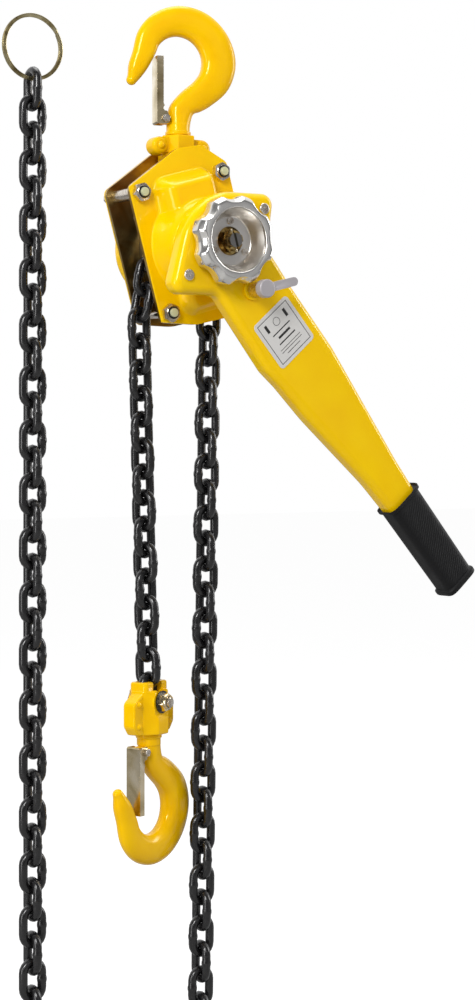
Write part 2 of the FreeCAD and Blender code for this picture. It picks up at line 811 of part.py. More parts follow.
def change_gear():
    """Threaded hub that presses the brake together, with the teeth that the lever drives."""
    tooth_y = lever_front + (lever_depth - change_w) / 2
    hub = cylinder(disc_r - 6, change_hub_y - 4, change_hub_y)
    neck = cylinder(hub_r, wheel_back, change_hub_y)
    teeth = gear(change_teeth, 2 * change_r / (change_teeth + 1.6), tooth_y, tooth_y + change_w)
    shape = hub.fuse(neck).fuse(teeth)
    return shape.cut(cylinder(shaft_r + run_gap, -120, 0)).removeSplitter()


# ---------------------------------------------------------------- lever
def lever_outline():
    """Outline as (across, along) corners, the along direction pointing to the grip."""
    corners = [
        (22.3, -40.8, 49), (71.5, 0.3, 11), (33.5, 34, 12), (31.5, 75, 30), (31, 148, 80),
        (23.6, 226, 300), (18.8, 276, 200), (16, lever_end, 9), (-18, lever_end, 9), (-21.4, 274, 200),
        (-34.8, 182, 200), (-38, 140, 30), (-41.4, 118, 30), (-37.3, 31.4, 14), (-75.5, -0.6, 11),
        (-17.9, -40.8, 60),
    ]
    return rounded_wire([(t, -s, r) for t, s, r in corners])


def lug_spots():
    reach = Vector(lug_t * math.cos(math.radians(lug_turn)), 0, -lug_t * math.sin(math.radians(lug_turn)))
    return [(side * reach.x, side * reach.z) for side in (-1, 1)]


def lever_shell(front):
    split = lever_back - lever_depth / 2
    outer = prism(lever_outline(), lever_front, lever_back)
    outer = outer.makeFillet(lever_round, edges_at(outer, lever_front) + edges_at(outer, lever_back))
    inner_wire = lever_outline().makeOffset2D(-lever_wall)
    low, high = lever_front + lever_wall, lever_back - lever_wall
    inner = prism(inner_wire, low, high)
    inner = inner.makeFillet(lever_round - lever_wall, edges_at(inner, low) + edges_at(inner, high))
    shell = outer.cut(inner)
    for x, z in lug_spots():
        shell = shell.fuse(cylinder(5.0, lever_front + 1, lever_back - 1, x, z))
    if front:
        keep = box(-lever_end, lever_end, lever_front - 1, split, -lever_end - 1, lever_end)
        shell = shell.common(keep).cut(cylinder(lever_hole_r, -200, 0))
        shell = shell.cut(cylinder(selector_pin_r + hole_gap, -200, 0, selector_t, -selector_s))
    else:
        keep = box(-lever_end, lever_end, split, lever_back + 1, -lever_end - 1, lever_end)
        shell = shell.common(keep).cut(cylinder(hub_r + 0.6, -200, 0))
        seat_y = lever_back - lever_wall - 2
        seat = tube(9.0, selector_pin_r + run_gap, seat_y, lever_back, selector_t, -selector_s)
        shell = shell.cut(cylinder(selector_pin_r + hole_gap, -200, 0, selector_t, -selector_s)).fuse(seat)
    for x, z in lug_spots():
        shell = shell.cut(cylinder(2.5 + hole_gap, -200, 0, x, z))
    return swing(shell)


def lever_screws():
    screws = [pan_screw(x, z, lever_front, 5.2, 2.6, 2.5, lever_depth - 0.5) for x, z in lug_spots()]
    return swing(Part.makeCompound(screws))


def grip():
    """Moulded rubber sleeve with a closed end."""
    middle = lever_back - lever_depth / 2 - 1.0
    corners = [(grip_half_top, grip_from, 2.5), (grip_half_end, grip_to, 6.0),
               (-grip_half_end, grip_to, 6.0), (-grip_half_top - 1, grip_from, 2.5)]
    wire = rounded_wire([(t, -s, r) for t, s, r in corners])
    sleeve = prism(wire, middle - grip_depth / 2, middle + grip_depth / 2)
    ends = edges_at(sleeve, middle - grip_depth / 2) + edges_at(sleeve, middle + grip_depth / 2)
    sleeve = sleeve.makeFillet(2.4, ends)
    handle = prism(lever_outline(), lever_front, lever_back)
    return swing(sleeve.cut(handle))


def rating_plate():
    half_w, half_h = label_w / 2, label_h / 2
    corners = [(plate_t_pos - half_w, -plate_s - half_h, 4), (plate_t_pos + half_w, -plate_s - half_h, 4),
               (plate_t_pos + half_w, -plate_s + half_h, 4), (plate_t_pos - half_w, -plate_s + half_h, 4)]
    return swing(prism(rounded_wire(corners), lever_front - label_thick, lever_front))


selector_boss_y = lever_front - 18.0
selector_knob_h = 8.0


def selector_lever():
    x, z = selector_t, -selector_s
    knob_y = selector_boss_y - selector_knob_h
    knob = cylinder(selector_knob_r, knob_y, selector_boss_y, x, z)
    knob = knob.makeFillet(1.5, edges_at(knob, knob_y))
    arm = box(x, x + selector_arm - 4, knob_y + 2.0, selector_boss_y - 1.5, z - 4, z + 4)
    arm = arm.fuse(cylinder(4, knob_y + 2.0, selector_boss_y - 1.5, x + selector_arm - 4, z))
    arm = turned(arm, selector_arm_dip, axis_y, Vector(x, 0, z))
    return swing(knob.fuse(arm).removeSplitter())


def selector_shaft():
    x, z = selector_t, -selector_s
    shaft = cylinder(selector_pin_r, selector_boss_y, lever_back + 0.5, x, z)
    sleeve = cylinder(selector_boss_r, selector_boss_y, lever_front - 3.4, x, z)
    return swing(shaft.fuse(sleeve).removeSplitter())


def selector_boss():
    x, z = selector_t, -selector_s
    return swing(tube(9.5, selector_pin_r + run_gap, lever_front - 3.0, lever_front, x, z))


def change_pawl():
    """Two-horned pawl on the selector shaft, reaching towards the change gear."""
    x, z = selector_t, -selector_s
    reach = math.hypot(x, z) - change_r - 0.5
    tooth_y = lever_front + (lever_depth - change_w) / 2 + 1.0
    shape = cylinder(9.0, tooth_y, tooth_y + change_w - 2, x, z)
    for lean in (-38, 38):
        horn = box(x - 4.0, x + 4.0, tooth_y, tooth_y + change_w - 2, z, z + reach - 1.0)
        shape = shape.fuse(turned(horn, lean, axis_y, Vector(x, 0, z)))
    shape = shape.common(cylinder(reach, -200, 0, x, z))
    return swing(shape.cut(cylinder(selector_pin_r, -200, 0, x, z)).removeSplitter())


def detent_spring():
    """Leaf that presses on the pawl's back and keeps the selector where it is put."""
    x, z = selector_t, -selector_s
    tooth_y = lever_front + (lever_depth - change_w) / 2 + 2.0
    leaf = box(x - 16, x + 16, tooth_y, tooth_y + change_w - 4, z - 10.4, z - 9.5)
    feet = []
    for side in (-1, 1):
        feet.append(box(x + side * 14 - 2, x + side * 14 + 2,
                        lever_front + lever_wall, lever_back - lever_wall, z - 12.4, z - 10.4))
    return swing(leaf.fuse(feet[0]).fuse(feet[1]).removeSplitter())


# ---------------------------------------------------------------- hand wheel
wheel_back = lever_front - wheel_gap
wheel_front = wheel_back - wheel_depth


def hand_wheel():
    rim = round_front(cylinder(wheel_r, wheel_front, wheel_back), wheel_front, wheel_round)
    for i in range(wheel_lobes):
        x, z = ring_point(wheel_r - wheel_scallop + wheel_scallop_r, 360 / wheel_lobes * i)
        rim = rim.cut(cylinder(wheel_scallop_r, wheel_front - 1, wheel_back + 1, x, z))
    floor = wheel_back - wheel_floor
    cup = Part.makeCone(cup_r_front, cup_r_floor, floor - wheel_front, Vector(0, wheel_front, 0), axis_y)
    rim = rim.cut(cup).cut(cylinder(wheel_hole_r, -200, 0))
    rim = rim.cut(tube(wheel_r - 4.5, hub_r + 4, wheel_back - 1.5, wheel_back + 1))
    return hang(turned(rim, wheel_turn, axis_y))


def wheel_disc():
    floor = wheel_back - wheel_floor
    return hang(tube(cup_r_floor - 0.6, wheel_hole_r, floor - 1.0, floor))


def wheel_screws():
    floor = wheel_back - wheel_floor - 1.0
    screws = []
    for i in range(3):
        x, z = ring_point(wheel_screw_r, 90 + hang_angle * -1 + 120 * i)
        head = cylinder(3.2, floor - 1.8, floor, x, z)
        for wide, tall in ((2.0, 0.5), (0.5, 2.0)):
            head = head.cut(box(x - wide, x + wide, floor - 3, floor - 0.8, z - tall, z + tall))
        screws.append(head)
    return hang(Part.makeCompound(screws))


def castle_nut():
    """Slotted nut in the bottom of the cup."""
    back = wheel_back - 0.8
    front = wheel_front + 8.0
    body = hexagon(18.0, front + 5.0, back).fuse(cylinder(8.6, front, back))
    for i in range(3):
        body = body.cut(turned(box(-1.3, 1.3, front - 1, front + 4.0, -12, 12), 60 * i, axis_y))
    washer = cylinder(wheel_hole_r - 0.3, back, back + 0.5)
    body = body.fuse(washer).cut(cylinder(shaft_r, -200, 0))
    return hang(body.removeSplitter())


def cotter_pin():
    """Split pin across the castle nut, laid in one pair of its slots."""
    front = wheel_front + 8.0
    pin = Part.makeCylinder(1.0, 21.0, Vector(0, front + 2.0, -10.5), axis_z)
    return hang(pin)


# ---------------------------------------------------------------- top yoke
def top_yoke_half(side):
    """Half of the top yoke, in a frame with the top pin at the origin."""
    top = pin_drop - neck_end - yoke_gap
    corners = [ring_point(yoke_r, 60 * i) for i in range(6)]
    hexagonal = column(corners, 4, top)
    hexagonal = hexagonal.makeFillet(1.5, [e for e in hexagonal.Edges if e.BoundBox.ZMin > top - 1e-4])
    shape = hexagonal.fuse(box(-ear_x, ear_x, -6.5, 6.5, top - 16, top - 2.5))
    for x in (-ear_x, ear_x):
        ear = cylinder(ear_r, -ear_half, ear_half, x, top - ear_drop)
        ear = ear.makeFillet(4.0, edges_at(ear, -ear_half) + edges_at(ear, ear_half))
        shape = shape.fuse(ear)
    shape = shape.fuse(cylinder(12.5, -inner_y + 0.6, inner_y - 0.6))
    shape = shape.fuse(box(-12, 12, -inner_y + 3, inner_y - 3, 0, 12))
    shape = shape.cut(post(shank_r + 0.3, 8, top + 1))
    shape = shape.cut(post(head_r + 0.4, top - head_seat - head_h - 0.4, top - head_seat + 0.2))
    shape = shape.cut(cylinder(pin_r + run_gap, -50, 50))
    for x in (-ear_x, ear_x):
        shape = shape.cut(cylinder(yoke_rivet_r + hole_gap, -50, 50, x, top - ear_drop))
    keep = box(-50, 50, -50, 0, -50, 60) if side < 0 else box(-50, 50, 0, 50, -50, 60)
    return moved(shape.common(keep), 0, 0, -pin_drop).removeSplitter()


def domed_rivet(shank, head, half, x, z):
    """Rivet along Y through a grip of twice the half length, with a low dome on each face."""
    rivet = cylinder(shank, -half, half, x, z)
    for sign in (-1, 1):
        ball = Part.makeSphere(head, Vector(x, sign * (half - head * 0.4), z))
        y0, y1 = sorted((sign * half, sign * (half + head)))
        rivet = rivet.fuse(ball.common(box(x - head, x + head, y0, y1, z - head, z + head)))
    return rivet.removeSplitter()


def top_yoke_rivets():
    top = pin_drop - neck_end - yoke_gap
    rivets = [domed_rivet(yoke_rivet_r, 3.9, ear_half, x, top - ear_drop) for x in (-ear_x, ear_x)]
    return moved(Part.makeCompound(rivets), 0, 0, -pin_drop)


# ---------------------------------------------------------------- lower block
def lower_block_half(side):
    """Half of the lower yoke, in a frame with the chain bolt at the origin along Y."""
    outline = [(core_x, -core_side), (core_x, core_side), (core_nose, core_y), (-core_nose, core_y),
               (-core_x, core_side), (-core_x, -core_side), (-core_nose, -core_y), (core_nose, -core_y)]
    core = column(outline, block_low, 11)
    core = core.makeFillet(2.5, [e for e in core.Edges if e.BoundBox.ZLength > 10])
    core = core.makeFillet(1.8, [e for e in core.Edges if e.BoundBox.ZMax < block_low + 1e-4
                                 or e.BoundBox.ZMin > 11 - 1e-4])
    for sign in (-1, 1):
        ledge = [(block_boss, 30), (block_boss, spot_low + 2), (core_y + 1, spot_low - 2), (core_y + 1, 30)]
        corners = [Vector(-core_x, sign * y, z) for y, z in ledge + ledge[:1]]
        core = core.cut(Part.Face(Part.makePolygon(corners)).extrude(Vector(2 * core_x, 0, 0)))
    collar = box(-18, 18, -9.6, 9.6, 3, block_top)
    collar = collar.makeFillet(4.0, [e for e in collar.Edges if e.BoundBox.ZLength > 10])
    collar = collar.makeFillet(2.2, [e for e in collar.Edges if e.BoundBox.ZMin > block_top - 1e-4])
    wing = [(17, 9.5, 3), (wing_x, 0.5, 5), (wing_x, -21.0, 6), (25.5, block_low + 0.6, 4)]
    corners = wing + [(-x, z, r) for x, z, r in reversed(wing)]
    wings = prism(rounded_wire(corners), -wing_y, wing_y)
    wings = wings.makeFillet(1.6, edges_at(wings, -wing_y) + edges_at(wings, wing_y))
    shape = core.fuse(collar).fuse(wings)
    shape = shape.fuse(cylinder(boss_r, -block_boss, block_boss))
    half = wire_d / 2 + 0.6
    shape = shape.cut(box(-15.8, 15.8, -half, half, -14.2, block_top + 1))
    shape = shape.cut(box(-7.0, 7.0, -15.0, 15.0, 8.5, block_top + 1))
    shape = shape.cut(cylinder(chain_bolt_r + hole_gap, -50, 50))
    seat = block_low + head_seat
    shape = shape.cut(post(shank_r + 0.3, block_low - 1, seat + 1))
    shape = shape.cut(post(head_r + 0.4, seat - 0.2, seat + head_h + 0.4))
    for x, z in rivet_spots():
        shape = shape.cut(cylinder(block_rivet_r + hole_gap, -50, 50, x, z))
    keep = box(-50, 50, -50, 0, -60, 60) if side < 0 else box(-50, 50, 0, 50, -60, 60)
    return shape.common(keep).removeSplitter()


def rivet_spots():
    return [(x, z) for x in (-block_rivet_x, block_rivet_x) for z in (-1.0, -21.1)]


def lower_block_rivets():
    return Part.makeCompound([domed_rivet(block_rivet_r, 3.4, wing_y, x, z) for x, z in rivet_spots()])


def chain_bolt():
    bolt = cylinder(chain_bolt_r, -block_boss - 10.5, block_boss)
    return bolt.fuse(hexagon(13, block_boss, block_boss + 5)).removeSplitter()


def chain_bolt_nut():
    face = -block_boss - 1.4
    washer = tube(washer_r, chain_bolt_r + hole_gap, face, -block_boss)
    return Part.makeCompound([nut(chain_nut_af, chain_bolt_r + hole_gap, face - 6.8, face, 0, 0, 10), washer])


# ---------------------------------------------------------------- ring
def end_ring(place):
    """Split ring of flat wire, two coils side by side with stepped ends."""
    coils = []
    for y0 in (-ring_wire_t - 0.05, 0.05):
        coil = tube(ring_r + ring_wire_w / 2, ring_r - ring_wire_w / 2, y0, y0 + ring_wire_t)
        coils.append(coil)
    bridge = box(ring_r - ring_wire_w / 2, ring_r + ring_wire_w / 2, -0.1, 0.1, -4, 4)
    ring = coils[0].fuse(coils[1]).fuse(bridge).removeSplitter()
    ring.translate(place)
    return ring


# ---------------------------------------------------------------- assembly
def build():
    parts = {}
    link = chain_link()

    hook = hook_body()
    latch, bolt, spring = hook_latch(), latch_bolt(), latch_spring()
    for name, shape in (("top_hook", hook), ("top_hook_latch", latch), ("top_latch_bolt", bolt),
                        ("top_latch_spring", spring)):
        parts[name] = turned(shape, hook_turn, axis_z)
    parts["top_yoke_front_half"] = top_yoke_half(-1)
    parts["top_yoke_rear_half"] = top_yoke_half(1)
    parts["top_yoke_rivets"] = top_yoke_rivets()
    parts["top_pin"] = hang(top_pin())

    parts["brake_side_plate"] = hang(side_plate(-outer_y, -inner_y))
    parts["gear_side_plate"] = hang(side_plate(inner_y, outer_y))
    parts["stay_bolts"] = hang(stay_bolts())
    parts["brake_side_nuts"] = hang(stay_nuts(True))
    parts["gear_side_nuts"] = hang(stay_nuts(False))
    parts["brake_cover"] = hang(brake_cover())
    parts["gear_cover"] = hang(gear_cover())
    parts["chain_stripper"] = hang(chain_stripper())
    parts["sheave_bearings"] = hang(sheave_bearings())

    parts["load_sheave"] = hang(load_sheave())
    parts["load_gear"] = hang(load_gear())
    parts["disc_gear_left"] = hang(disc_gear(-1))
    parts["disc_gear_right"] = hang(disc_gear(1))
    parts["drive_shaft"] = hang(drive_shaft())
    parts["brake_hub"] = hang(brake_hub())
    parts["friction_discs"] = hang(friction_discs())
    parts["ratchet_disc"] = hang(ratchet_disc())
    for name, spot in zip(("upper_pawl", "lower_pawl"), pawl_spots()):
        parts[name] = hang(pawl(*spot))
    parts["pawl_pins"] = hang(pawl_pins())
    parts["pawl_springs"] = hang(pawl_springs())
    parts["change_gear"] = hang(change_gear())

    parts["lever_front_shell"] = lever_shell(True)
    parts["lever_rear_shell"] = lever_shell(False)
    parts["lever_screws"] = lever_screws()
    parts["grip"] = grip()
    parts["rating_plate"] = rating_plate()
    parts["selector_boss"] = selector_boss()
    parts["selector_lever"] = selector_lever()
    parts["selector_shaft"] = selector_shaft()
    parts["change_pawl"] = change_pawl()
    parts["detent_spring"] = detent_spring()

    parts["hand_wheel"] = hand_wheel()
    parts["wheel_disc"] = wheel_disc()
    parts["wheel_screws"] = wheel_screws()
    parts["castle_nut"] = castle_nut()
    parts["cotter_pin"] = cotter_pin()

    seated = seated_joints()
    parts["sheave_links"] = link_run(link, seated, [False, True, False, True])

    guide = body_point(-stay_x, -stay_low_z) + Vector(-stay_offset, 0, 0)
    lead_way = (guide - seated[0]).normalize()
    lead_flats = [True, False, True]
    lead = straight_joints(seated[0], lead_way, lead_flats)
    parts["lead_links"] = link_run(link, lead, lead_flats, [0.0, 4.0, 9.0])

    lean = math.radians(load_lean)
    fall_way = Vector(math.sin(lean), 0, -math.cos(lean))
    flats = [i % 2 == 1 for i in range(load_links)]
    fall = straight_joints(lead[-1], fall_way, flats)
    twists = [first_twist + (lower_turn - first_twist) * i / (load_links - 1) for i in range(load_links)]
    first = link_run(link, fall[:2], flats[:1], twists[:1])
    parts["swivel_link"] = first
    parts["load_chain"] = link_run(link, fall[1:], flats[1:], twists[1:])

    last_centre = (fall[-1] + fall[-2]) * 0.5
    bolt_place = last_centre + fall_way * (near_joint + link_in_w / 2 - chain_bolt_r - 0.2)
    block = {
        "lower_yoke_front_half": lower_block_half(-1),
        "lower_yoke_rear_half": lower_block_half(1),
        "lower_yoke_rivets": lower_block_rivets(),
        "chain_bolt": chain_bolt(),
        "chain_bolt_nut": chain_bolt_nut(),
    }
    hook_drop = block_low - yoke_gap - neck_end
    for name, shape in (("lower_hook", hook), ("lower_hook_latch", latch), ("lower_latch_bolt", bolt),
                        ("lower_latch_spring", spring)):
        copy = turned(turned(shape, 180, axis_x), lower_hook_turn - lower_turn, axis_z)
        block[name] = moved(copy, 0, 0, hook_drop)
    for name, shape in block.items():
        shape = turned(shape, lower_turn, axis_z)
        parts[name] = moved(shape, bolt_place.x, bolt_place.y, bolt_place.z)

    slack_flats = [i % 2 == 1 for i in range(slack_links)]
    low, high = -1600.0, -500.0
    for _ in range(30):
        middle = (low + high) / 2
        slack = walk(slack_path(middle, seated[-1]), slack_flats)
        if slack[-1].z > end_link_z:
            high = middle
        else:
            low = middle
    parts["slack_chain"] = link_run(link, slack, slack_flats)
    top_inside = (slack[-1] + slack[-2]) * 0.5 + Vector(0, 0, link_inside / 2)
    ring_centre = top_inside + Vector(0, 0, ring_r - ring_wire_w / 2 - ring_gap)
    parts["end_ring"] = end_ring(ring_centre)

    print("shaft", body_point(0, 0), "joint ring", round(joint_ring_r, 2))
    print("lead end", lead[-1], "first load link", (fall[0] + fall[1]) * 0.5, "bolt", bolt_place)
    print("slack loop bottom", min(p.z for p in slack), "end", slack[-1], "ring", ring_centre)
    return parts


os.makedirs("parts", exist_ok=True)
for name, shape in build().items():
    good = shape.isValid() and all(solid.isClosed() for solid in shape.Solids)
    print(f"{name:26s} solids {len(shape.Solids):3d} volume {shape.Volume:10.1f} valid {good}")
    shape.exportStep(f"parts/{name}.step")
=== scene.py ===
import bmesh
import bpy
import math
import numpy as np
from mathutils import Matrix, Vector


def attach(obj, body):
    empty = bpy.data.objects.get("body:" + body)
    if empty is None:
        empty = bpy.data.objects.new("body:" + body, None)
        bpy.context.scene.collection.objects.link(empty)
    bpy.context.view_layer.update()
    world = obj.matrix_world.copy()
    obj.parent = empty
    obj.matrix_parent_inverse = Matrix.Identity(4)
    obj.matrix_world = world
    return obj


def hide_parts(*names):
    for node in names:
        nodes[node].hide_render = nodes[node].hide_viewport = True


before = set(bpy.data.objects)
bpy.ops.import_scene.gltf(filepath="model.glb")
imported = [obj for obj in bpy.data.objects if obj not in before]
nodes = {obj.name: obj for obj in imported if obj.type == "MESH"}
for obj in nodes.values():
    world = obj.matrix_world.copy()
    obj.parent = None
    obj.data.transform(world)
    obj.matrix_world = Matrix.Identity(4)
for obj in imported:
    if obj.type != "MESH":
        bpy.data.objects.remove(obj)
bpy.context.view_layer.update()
scene = bpy.context.scene
mm = 0.001
print("frame loaded")

# how the hoist's body hangs: the drive shaft's place and the lean, then the lever's own lean
pose = {"shaftX": 4.5074, "shaftZ": -196.0292, "hang": 16.0, "lever": 24.8}


def hang(x, y, z):
    # upright body frame to the hoist's place: turned by the hang angle about Y, moved to the shaft
    a = math.radians(pose["hang"])
    return np.stack([
        pose["shaftX"] + x * math.cos(a) - z * math.sin(a),
        y + 0 * x,
        pose["shaftZ"] + x * math.sin(a) + z * math.cos(a),
    ], -1)


def swing(across, y, along):
    # lever frame, along the grip and across it, to the hoist's place
    a = math.radians(pose["lever"])
    x = across * math.cos(a) + along * math.sin(a)
    z = across * math.sin(a) - along * math.cos(a)
    return hang(x, y, z)


# ---- mesh helpers
def gridFaces(rows, columns, wrapRows=False, wrapColumns=True):
    r = np.arange(rows if wrapRows else rows - 1)
    c = np.arange(columns if wrapColumns else columns - 1)
    rr, cc = np.meshgrid(r, c, indexing="ij")
    nr, nc = (rr + 1) % rows, (cc + 1) % columns
    quads = [rr * columns + cc, rr * columns + nc, nr * columns + nc, nr * columns + cc]
    return np.stack(quads, -1).reshape(-1, 4)


def tidyMesh(mesh, angle):
    work = bmesh.new()
    work.from_mesh(mesh)
    bmesh.ops.remove_doubles(work, verts=work.verts, dist=2e-6)
    bmesh.ops.dissolve_degenerate(work, edges=work.edges, dist=1e-7)
    bmesh.ops.recalc_face_normals(work, faces=work.faces)
    work.to_mesh(mesh)
    work.free()
    mesh.polygons.foreach_set("use_smooth", np.ones(len(mesh.polygons), bool))
    mesh.set_sharp_from_angle(angle=math.radians(angle))


def addPiece(name, grids, material, body, replaced=(), angle=38.0):
    # grids: (points rows x columns x 3 in mm, wrapRows, wrapColumns), all joined into one mesh
    points, faces, start = [], [], 0
    for grid, wrapRows, wrapColumns in grids:
        rows, columns = grid.shape[:2]
        points.append(grid.reshape(-1, 3) * mm)
        faces.append(gridFaces(rows, columns, wrapRows, wrapColumns) + start)
        start += rows * columns
    mesh = bpy.data.meshes.new(name)
    mesh.from_pydata(np.concatenate(points).tolist(), [], np.concatenate(faces).tolist())
    tidyMesh(mesh, angle)
    piece = bpy.data.objects.new(name, mesh)
    scene.collection.objects.link(piece)
    mesh.materials.append(material)
    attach(piece, body)
    if replaced:
        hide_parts(*replaced)
    return piece


def dressCopy(node, name, material, body, bevel=0.0, angle=32.0, segments=2):
    # a merged copy of a CAD node, with its sharp edges rounded
    mesh = nodes[node].data.copy()
    mesh.name = name
    work = bmesh.new()
    work.from_mesh(mesh)
    bmesh.ops.remove_doubles(work, verts=work.verts, dist=1e-5)
    bmesh.ops.dissolve_limit(work, angle_limit=math.radians(0.6), verts=work.verts, edges=work.edges)
    work.to_mesh(mesh)
    work.free()
    mesh.polygons.foreach_set("use_smooth", np.ones(len(mesh.polygons), bool))
    mesh.set_sharp_from_angle(angle=math.radians(angle))
    piece = bpy.data.objects.new(name, mesh)
    scene.collection.objects.link(piece)
    mesh.materials.clear()
    mesh.materials.append(material)
    if bevel:
        rounding = piece.modifiers.new("edges", "BEVEL")
        rounding.width = bevel * mm
        rounding.segments = segments
        rounding.limit_method = "ANGLE"
        rounding.angle_limit = math.radians(angle)
        rounding.harden_normals = True
        rounding.use_clamp_overlap = True
    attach(piece, body)
    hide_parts(node)
    return piece


def softPath(corners, steps=6):
    # polyline through corners (a, b, radius), each corner turned into an arc
    pts = np.array([(a, b) for a, b, _ in corners], float)
    out = []
    for i, (_, _, radius) in enumerate(corners):
        if radius <= 0 or (i in (0, len(corners) - 1) and tuple(pts[0]) != tuple(pts[-1])):
            out.append(pts[i][None])
            continue
        before, after = pts[i - 1] - pts[i], pts[(i + 1) % len(pts)] - pts[i]
        lb, la = np.linalg.norm(before), np.linalg.norm(after)
        before, after = before / lb, after / la
        half = math.acos(float(np.clip(before @ after, -1, 1))) / 2
        reach = min(radius / max(math.tan(half), 1e-6), lb * 0.49, la * 0.49)
        t = np.linspace(0, 1, steps)[:, None]
        out.append((1 - t) ** 2 * (pts[i] + before * reach) + 2 * t * (1 - t) * pts[i]
                   + t ** 2 * (pts[i] + after * reach))
    return np.concatenate(out)


# ---- materials
def linear(hexColour, alpha=1.0):
    # sRGB hex to the linear values that the shader's sockets take
    c = np.array([int(hexColour[i:i + 2], 16) for i in (1, 3, 5)]) / 255
    c = np.where(c <= 0.04045, c / 12.92, ((c + 0.055) / 1.055) ** 2.4)
    return (*c.tolist(), alpha)


def addNode(tree, kind, settings=None, **links):
    # a node, its settings and inputs: a socket links, anything else is set
    node = tree.nodes.new(kind)
    for key, value in (settings or {}).items():
        setattr(node, key, value)
    for key, value in links.items():
        socket = node.inputs[int(key[2:])] if key.startswith("in") and key[2:].isdigit() else node.inputs[
            key.replace("_", " ")]
        if isinstance(value, bpy.types.NodeSocket):
            tree.links.new(value, socket)
        else:
            socket.default_value = value
    return node


def startMaterial(name, colour, roughness, metallic=0.0, **sockets):
    material = bpy.data.materials.new(name)
    material.use_nodes = True
    shader = material.node_tree.nodes["Principled BSDF"]
    shader.inputs["Base Color"].default_value = linear(colour)
    shader.inputs["Roughness"].default_value = roughness
    shader.inputs["Metallic"].default_value = metallic
    for key, value in sockets.items():
        shader.inputs[key.replace("_", " ")].default_value = value
    return material, material.node_tree, shader


def ramp(tree, source, stops):
    node = addNode(tree, "ShaderNodeValToRGB", None, Fac=source)
    elements = node.color_ramp.elements
    while len(elements) < len(stops):
        elements.new(0.5)
    for element, (place, colour) in zip(elements, stops):
        element.position = place
        element.color = linear(colour)
    return node


def paintYellow():
    # polyester powder coat, sprayed and baked: glossy, with a faint orange peel of about 2 mm
    material, tree, shader = startMaterial(
        "yellowPowderCoat", "#F6C800", 0.22, Specular_IOR_Level=0.3, Specular_Tint=linear("#FFDC50"),
        Coat_Weight=0.4, Coat_Roughness=0.05)
    place = addNode(tree, "ShaderNodeTexCoord").outputs["Object"]
    shade = addNode(tree, "ShaderNodeTexNoise", None, Vector=place, Scale=28.0, Detail=3.0)
    tones = ramp(tree, shade.outputs["Fac"], [(0.3, "#F5C300"), (0.7, "#F9CC00")])
    tree.links.new(tones.outputs["Color"], shader.inputs["Base Color"])
    peel = addNode(tree, "ShaderNodeTexNoise", None, Vector=place, Scale=480.0, Detail=2.0)
    bump = addNode(tree, "ShaderNodeBump", None, Strength=0.05, Distance=0.0004, Height=peel.outputs["Fac"])
    tree.links.new(bump.outputs["Normal"], shader.inputs["Normal"])
    return material


def paintForging():
    # the same coat over a forged and shot-blasted hook: the scale's dimples show through, about 3 mm
    material, tree, shader = startMaterial(
        "yellowCoatOnForging", "#F4BE00", 0.25, Specular_IOR_Level=0.3, Specular_Tint=linear("#FFDC50"),
        Coat_Weight=0.3, Coat_Roughness=0.08)
    place = addNode(tree, "ShaderNodeTexCoord").outputs["Object"]
    shade = addNode(tree, "ShaderNodeTexNoise", None, Vector=place, Scale=35.0, Detail=4.0)
    tones = ramp(tree, shade.outputs["Fac"], [(0.3, "#F1B800"), (0.7, "#F8C400")])
    tree.links.new(tones.outputs["Color"], shader.inputs["Base Color"])
    dimples = addNode(tree, "ShaderNodeTexNoise", None, Vector=place, Scale=300.0, Detail=3.0)
    bump = addNode(tree, "ShaderNodeBump", None, Strength=0.16, Distance=0.0006,
                   Height=dimples.outputs["Fac"])
    tree.links.new(bump.outputs["Normal"], shader.inputs["Normal"])
    return material


def blackChainSteel():
    # alloy chain, hardened and black lacquered: dark with a wet gloss and small rubbed spots
    material, tree, shader = startMaterial(
        "blackLacqueredSteel", "#111011", 0.3, Coat_Weight=0.4, Coat_Roughness=0.12)
    place = addNode(tree, "ShaderNodeTexCoord").outputs["Object"]
    grain = addNode(tree, "ShaderNodeTexNoise", None, Vector=place, Scale=420.0, Detail=4.0)
    tones = ramp(tree, grain.outputs["Fac"], [(0.35, "#0A090A"), (0.6, "#111011"), (0.82, "#262425")])
    tree.links.new(tones.outputs["Color"], shader.inputs["Base Color"])
    gloss = addNode(tree, "ShaderNodeMapRange", None, Value=grain.outputs["Fac"], To_Min=0.16, To_Max=0.42)
    tree.links.new(gloss.outputs["Result"], shader.inputs["Roughness"])
    bump = addNode(tree, "ShaderNodeBump", None, Strength=0.2, Distance=0.0003, Height=grain.outputs["Fac"])
    tree.links.new(bump.outputs["Normal"], shader.inputs["Normal"])
    return material


def zincMetal(name, light, middle, dark, roughness, size):
    # zinc plate with a chromate film: metal with cloudy gold, olive and brown tints, clouds of a size in mm
    material, tree, shader = startMaterial(name, middle, roughness, 1.0)
    place = addNode(tree, "ShaderNodeTexCoord").outputs["Object"]
    cloud = addNode(tree, "ShaderNodeTexNoise", None, Vector=place, Scale=1 / (size * mm), Detail=3.0,
                    Distortion=0.8)
    tones = ramp(tree, cloud.outputs["Fac"], [(0.28, dark), (0.5, middle), (0.72, light)])
    tree.links.new(tones.outputs["Color"], shader.inputs["Base Color"])
    fine = addNode(tree, "ShaderNodeTexNoise", None, Vector=place, Scale=900.0, Detail=2.0)
    gloss = addNode(tree, "ShaderNodeMapRange", None, Value=fine.outputs["Fac"],
                    To_Min=roughness - 0.07, To_Max=roughness + 0.1)
    tree.links.new(gloss.outputs["Result"], shader.inputs["Roughness"])
    bump = addNode(tree, "ShaderNodeBump", None, Strength=0.08, Distance=0.0002, Height=fine.outputs["Fac"])
    tree.links.new(bump.outputs["Normal"], shader.inputs["Normal"])
    return material


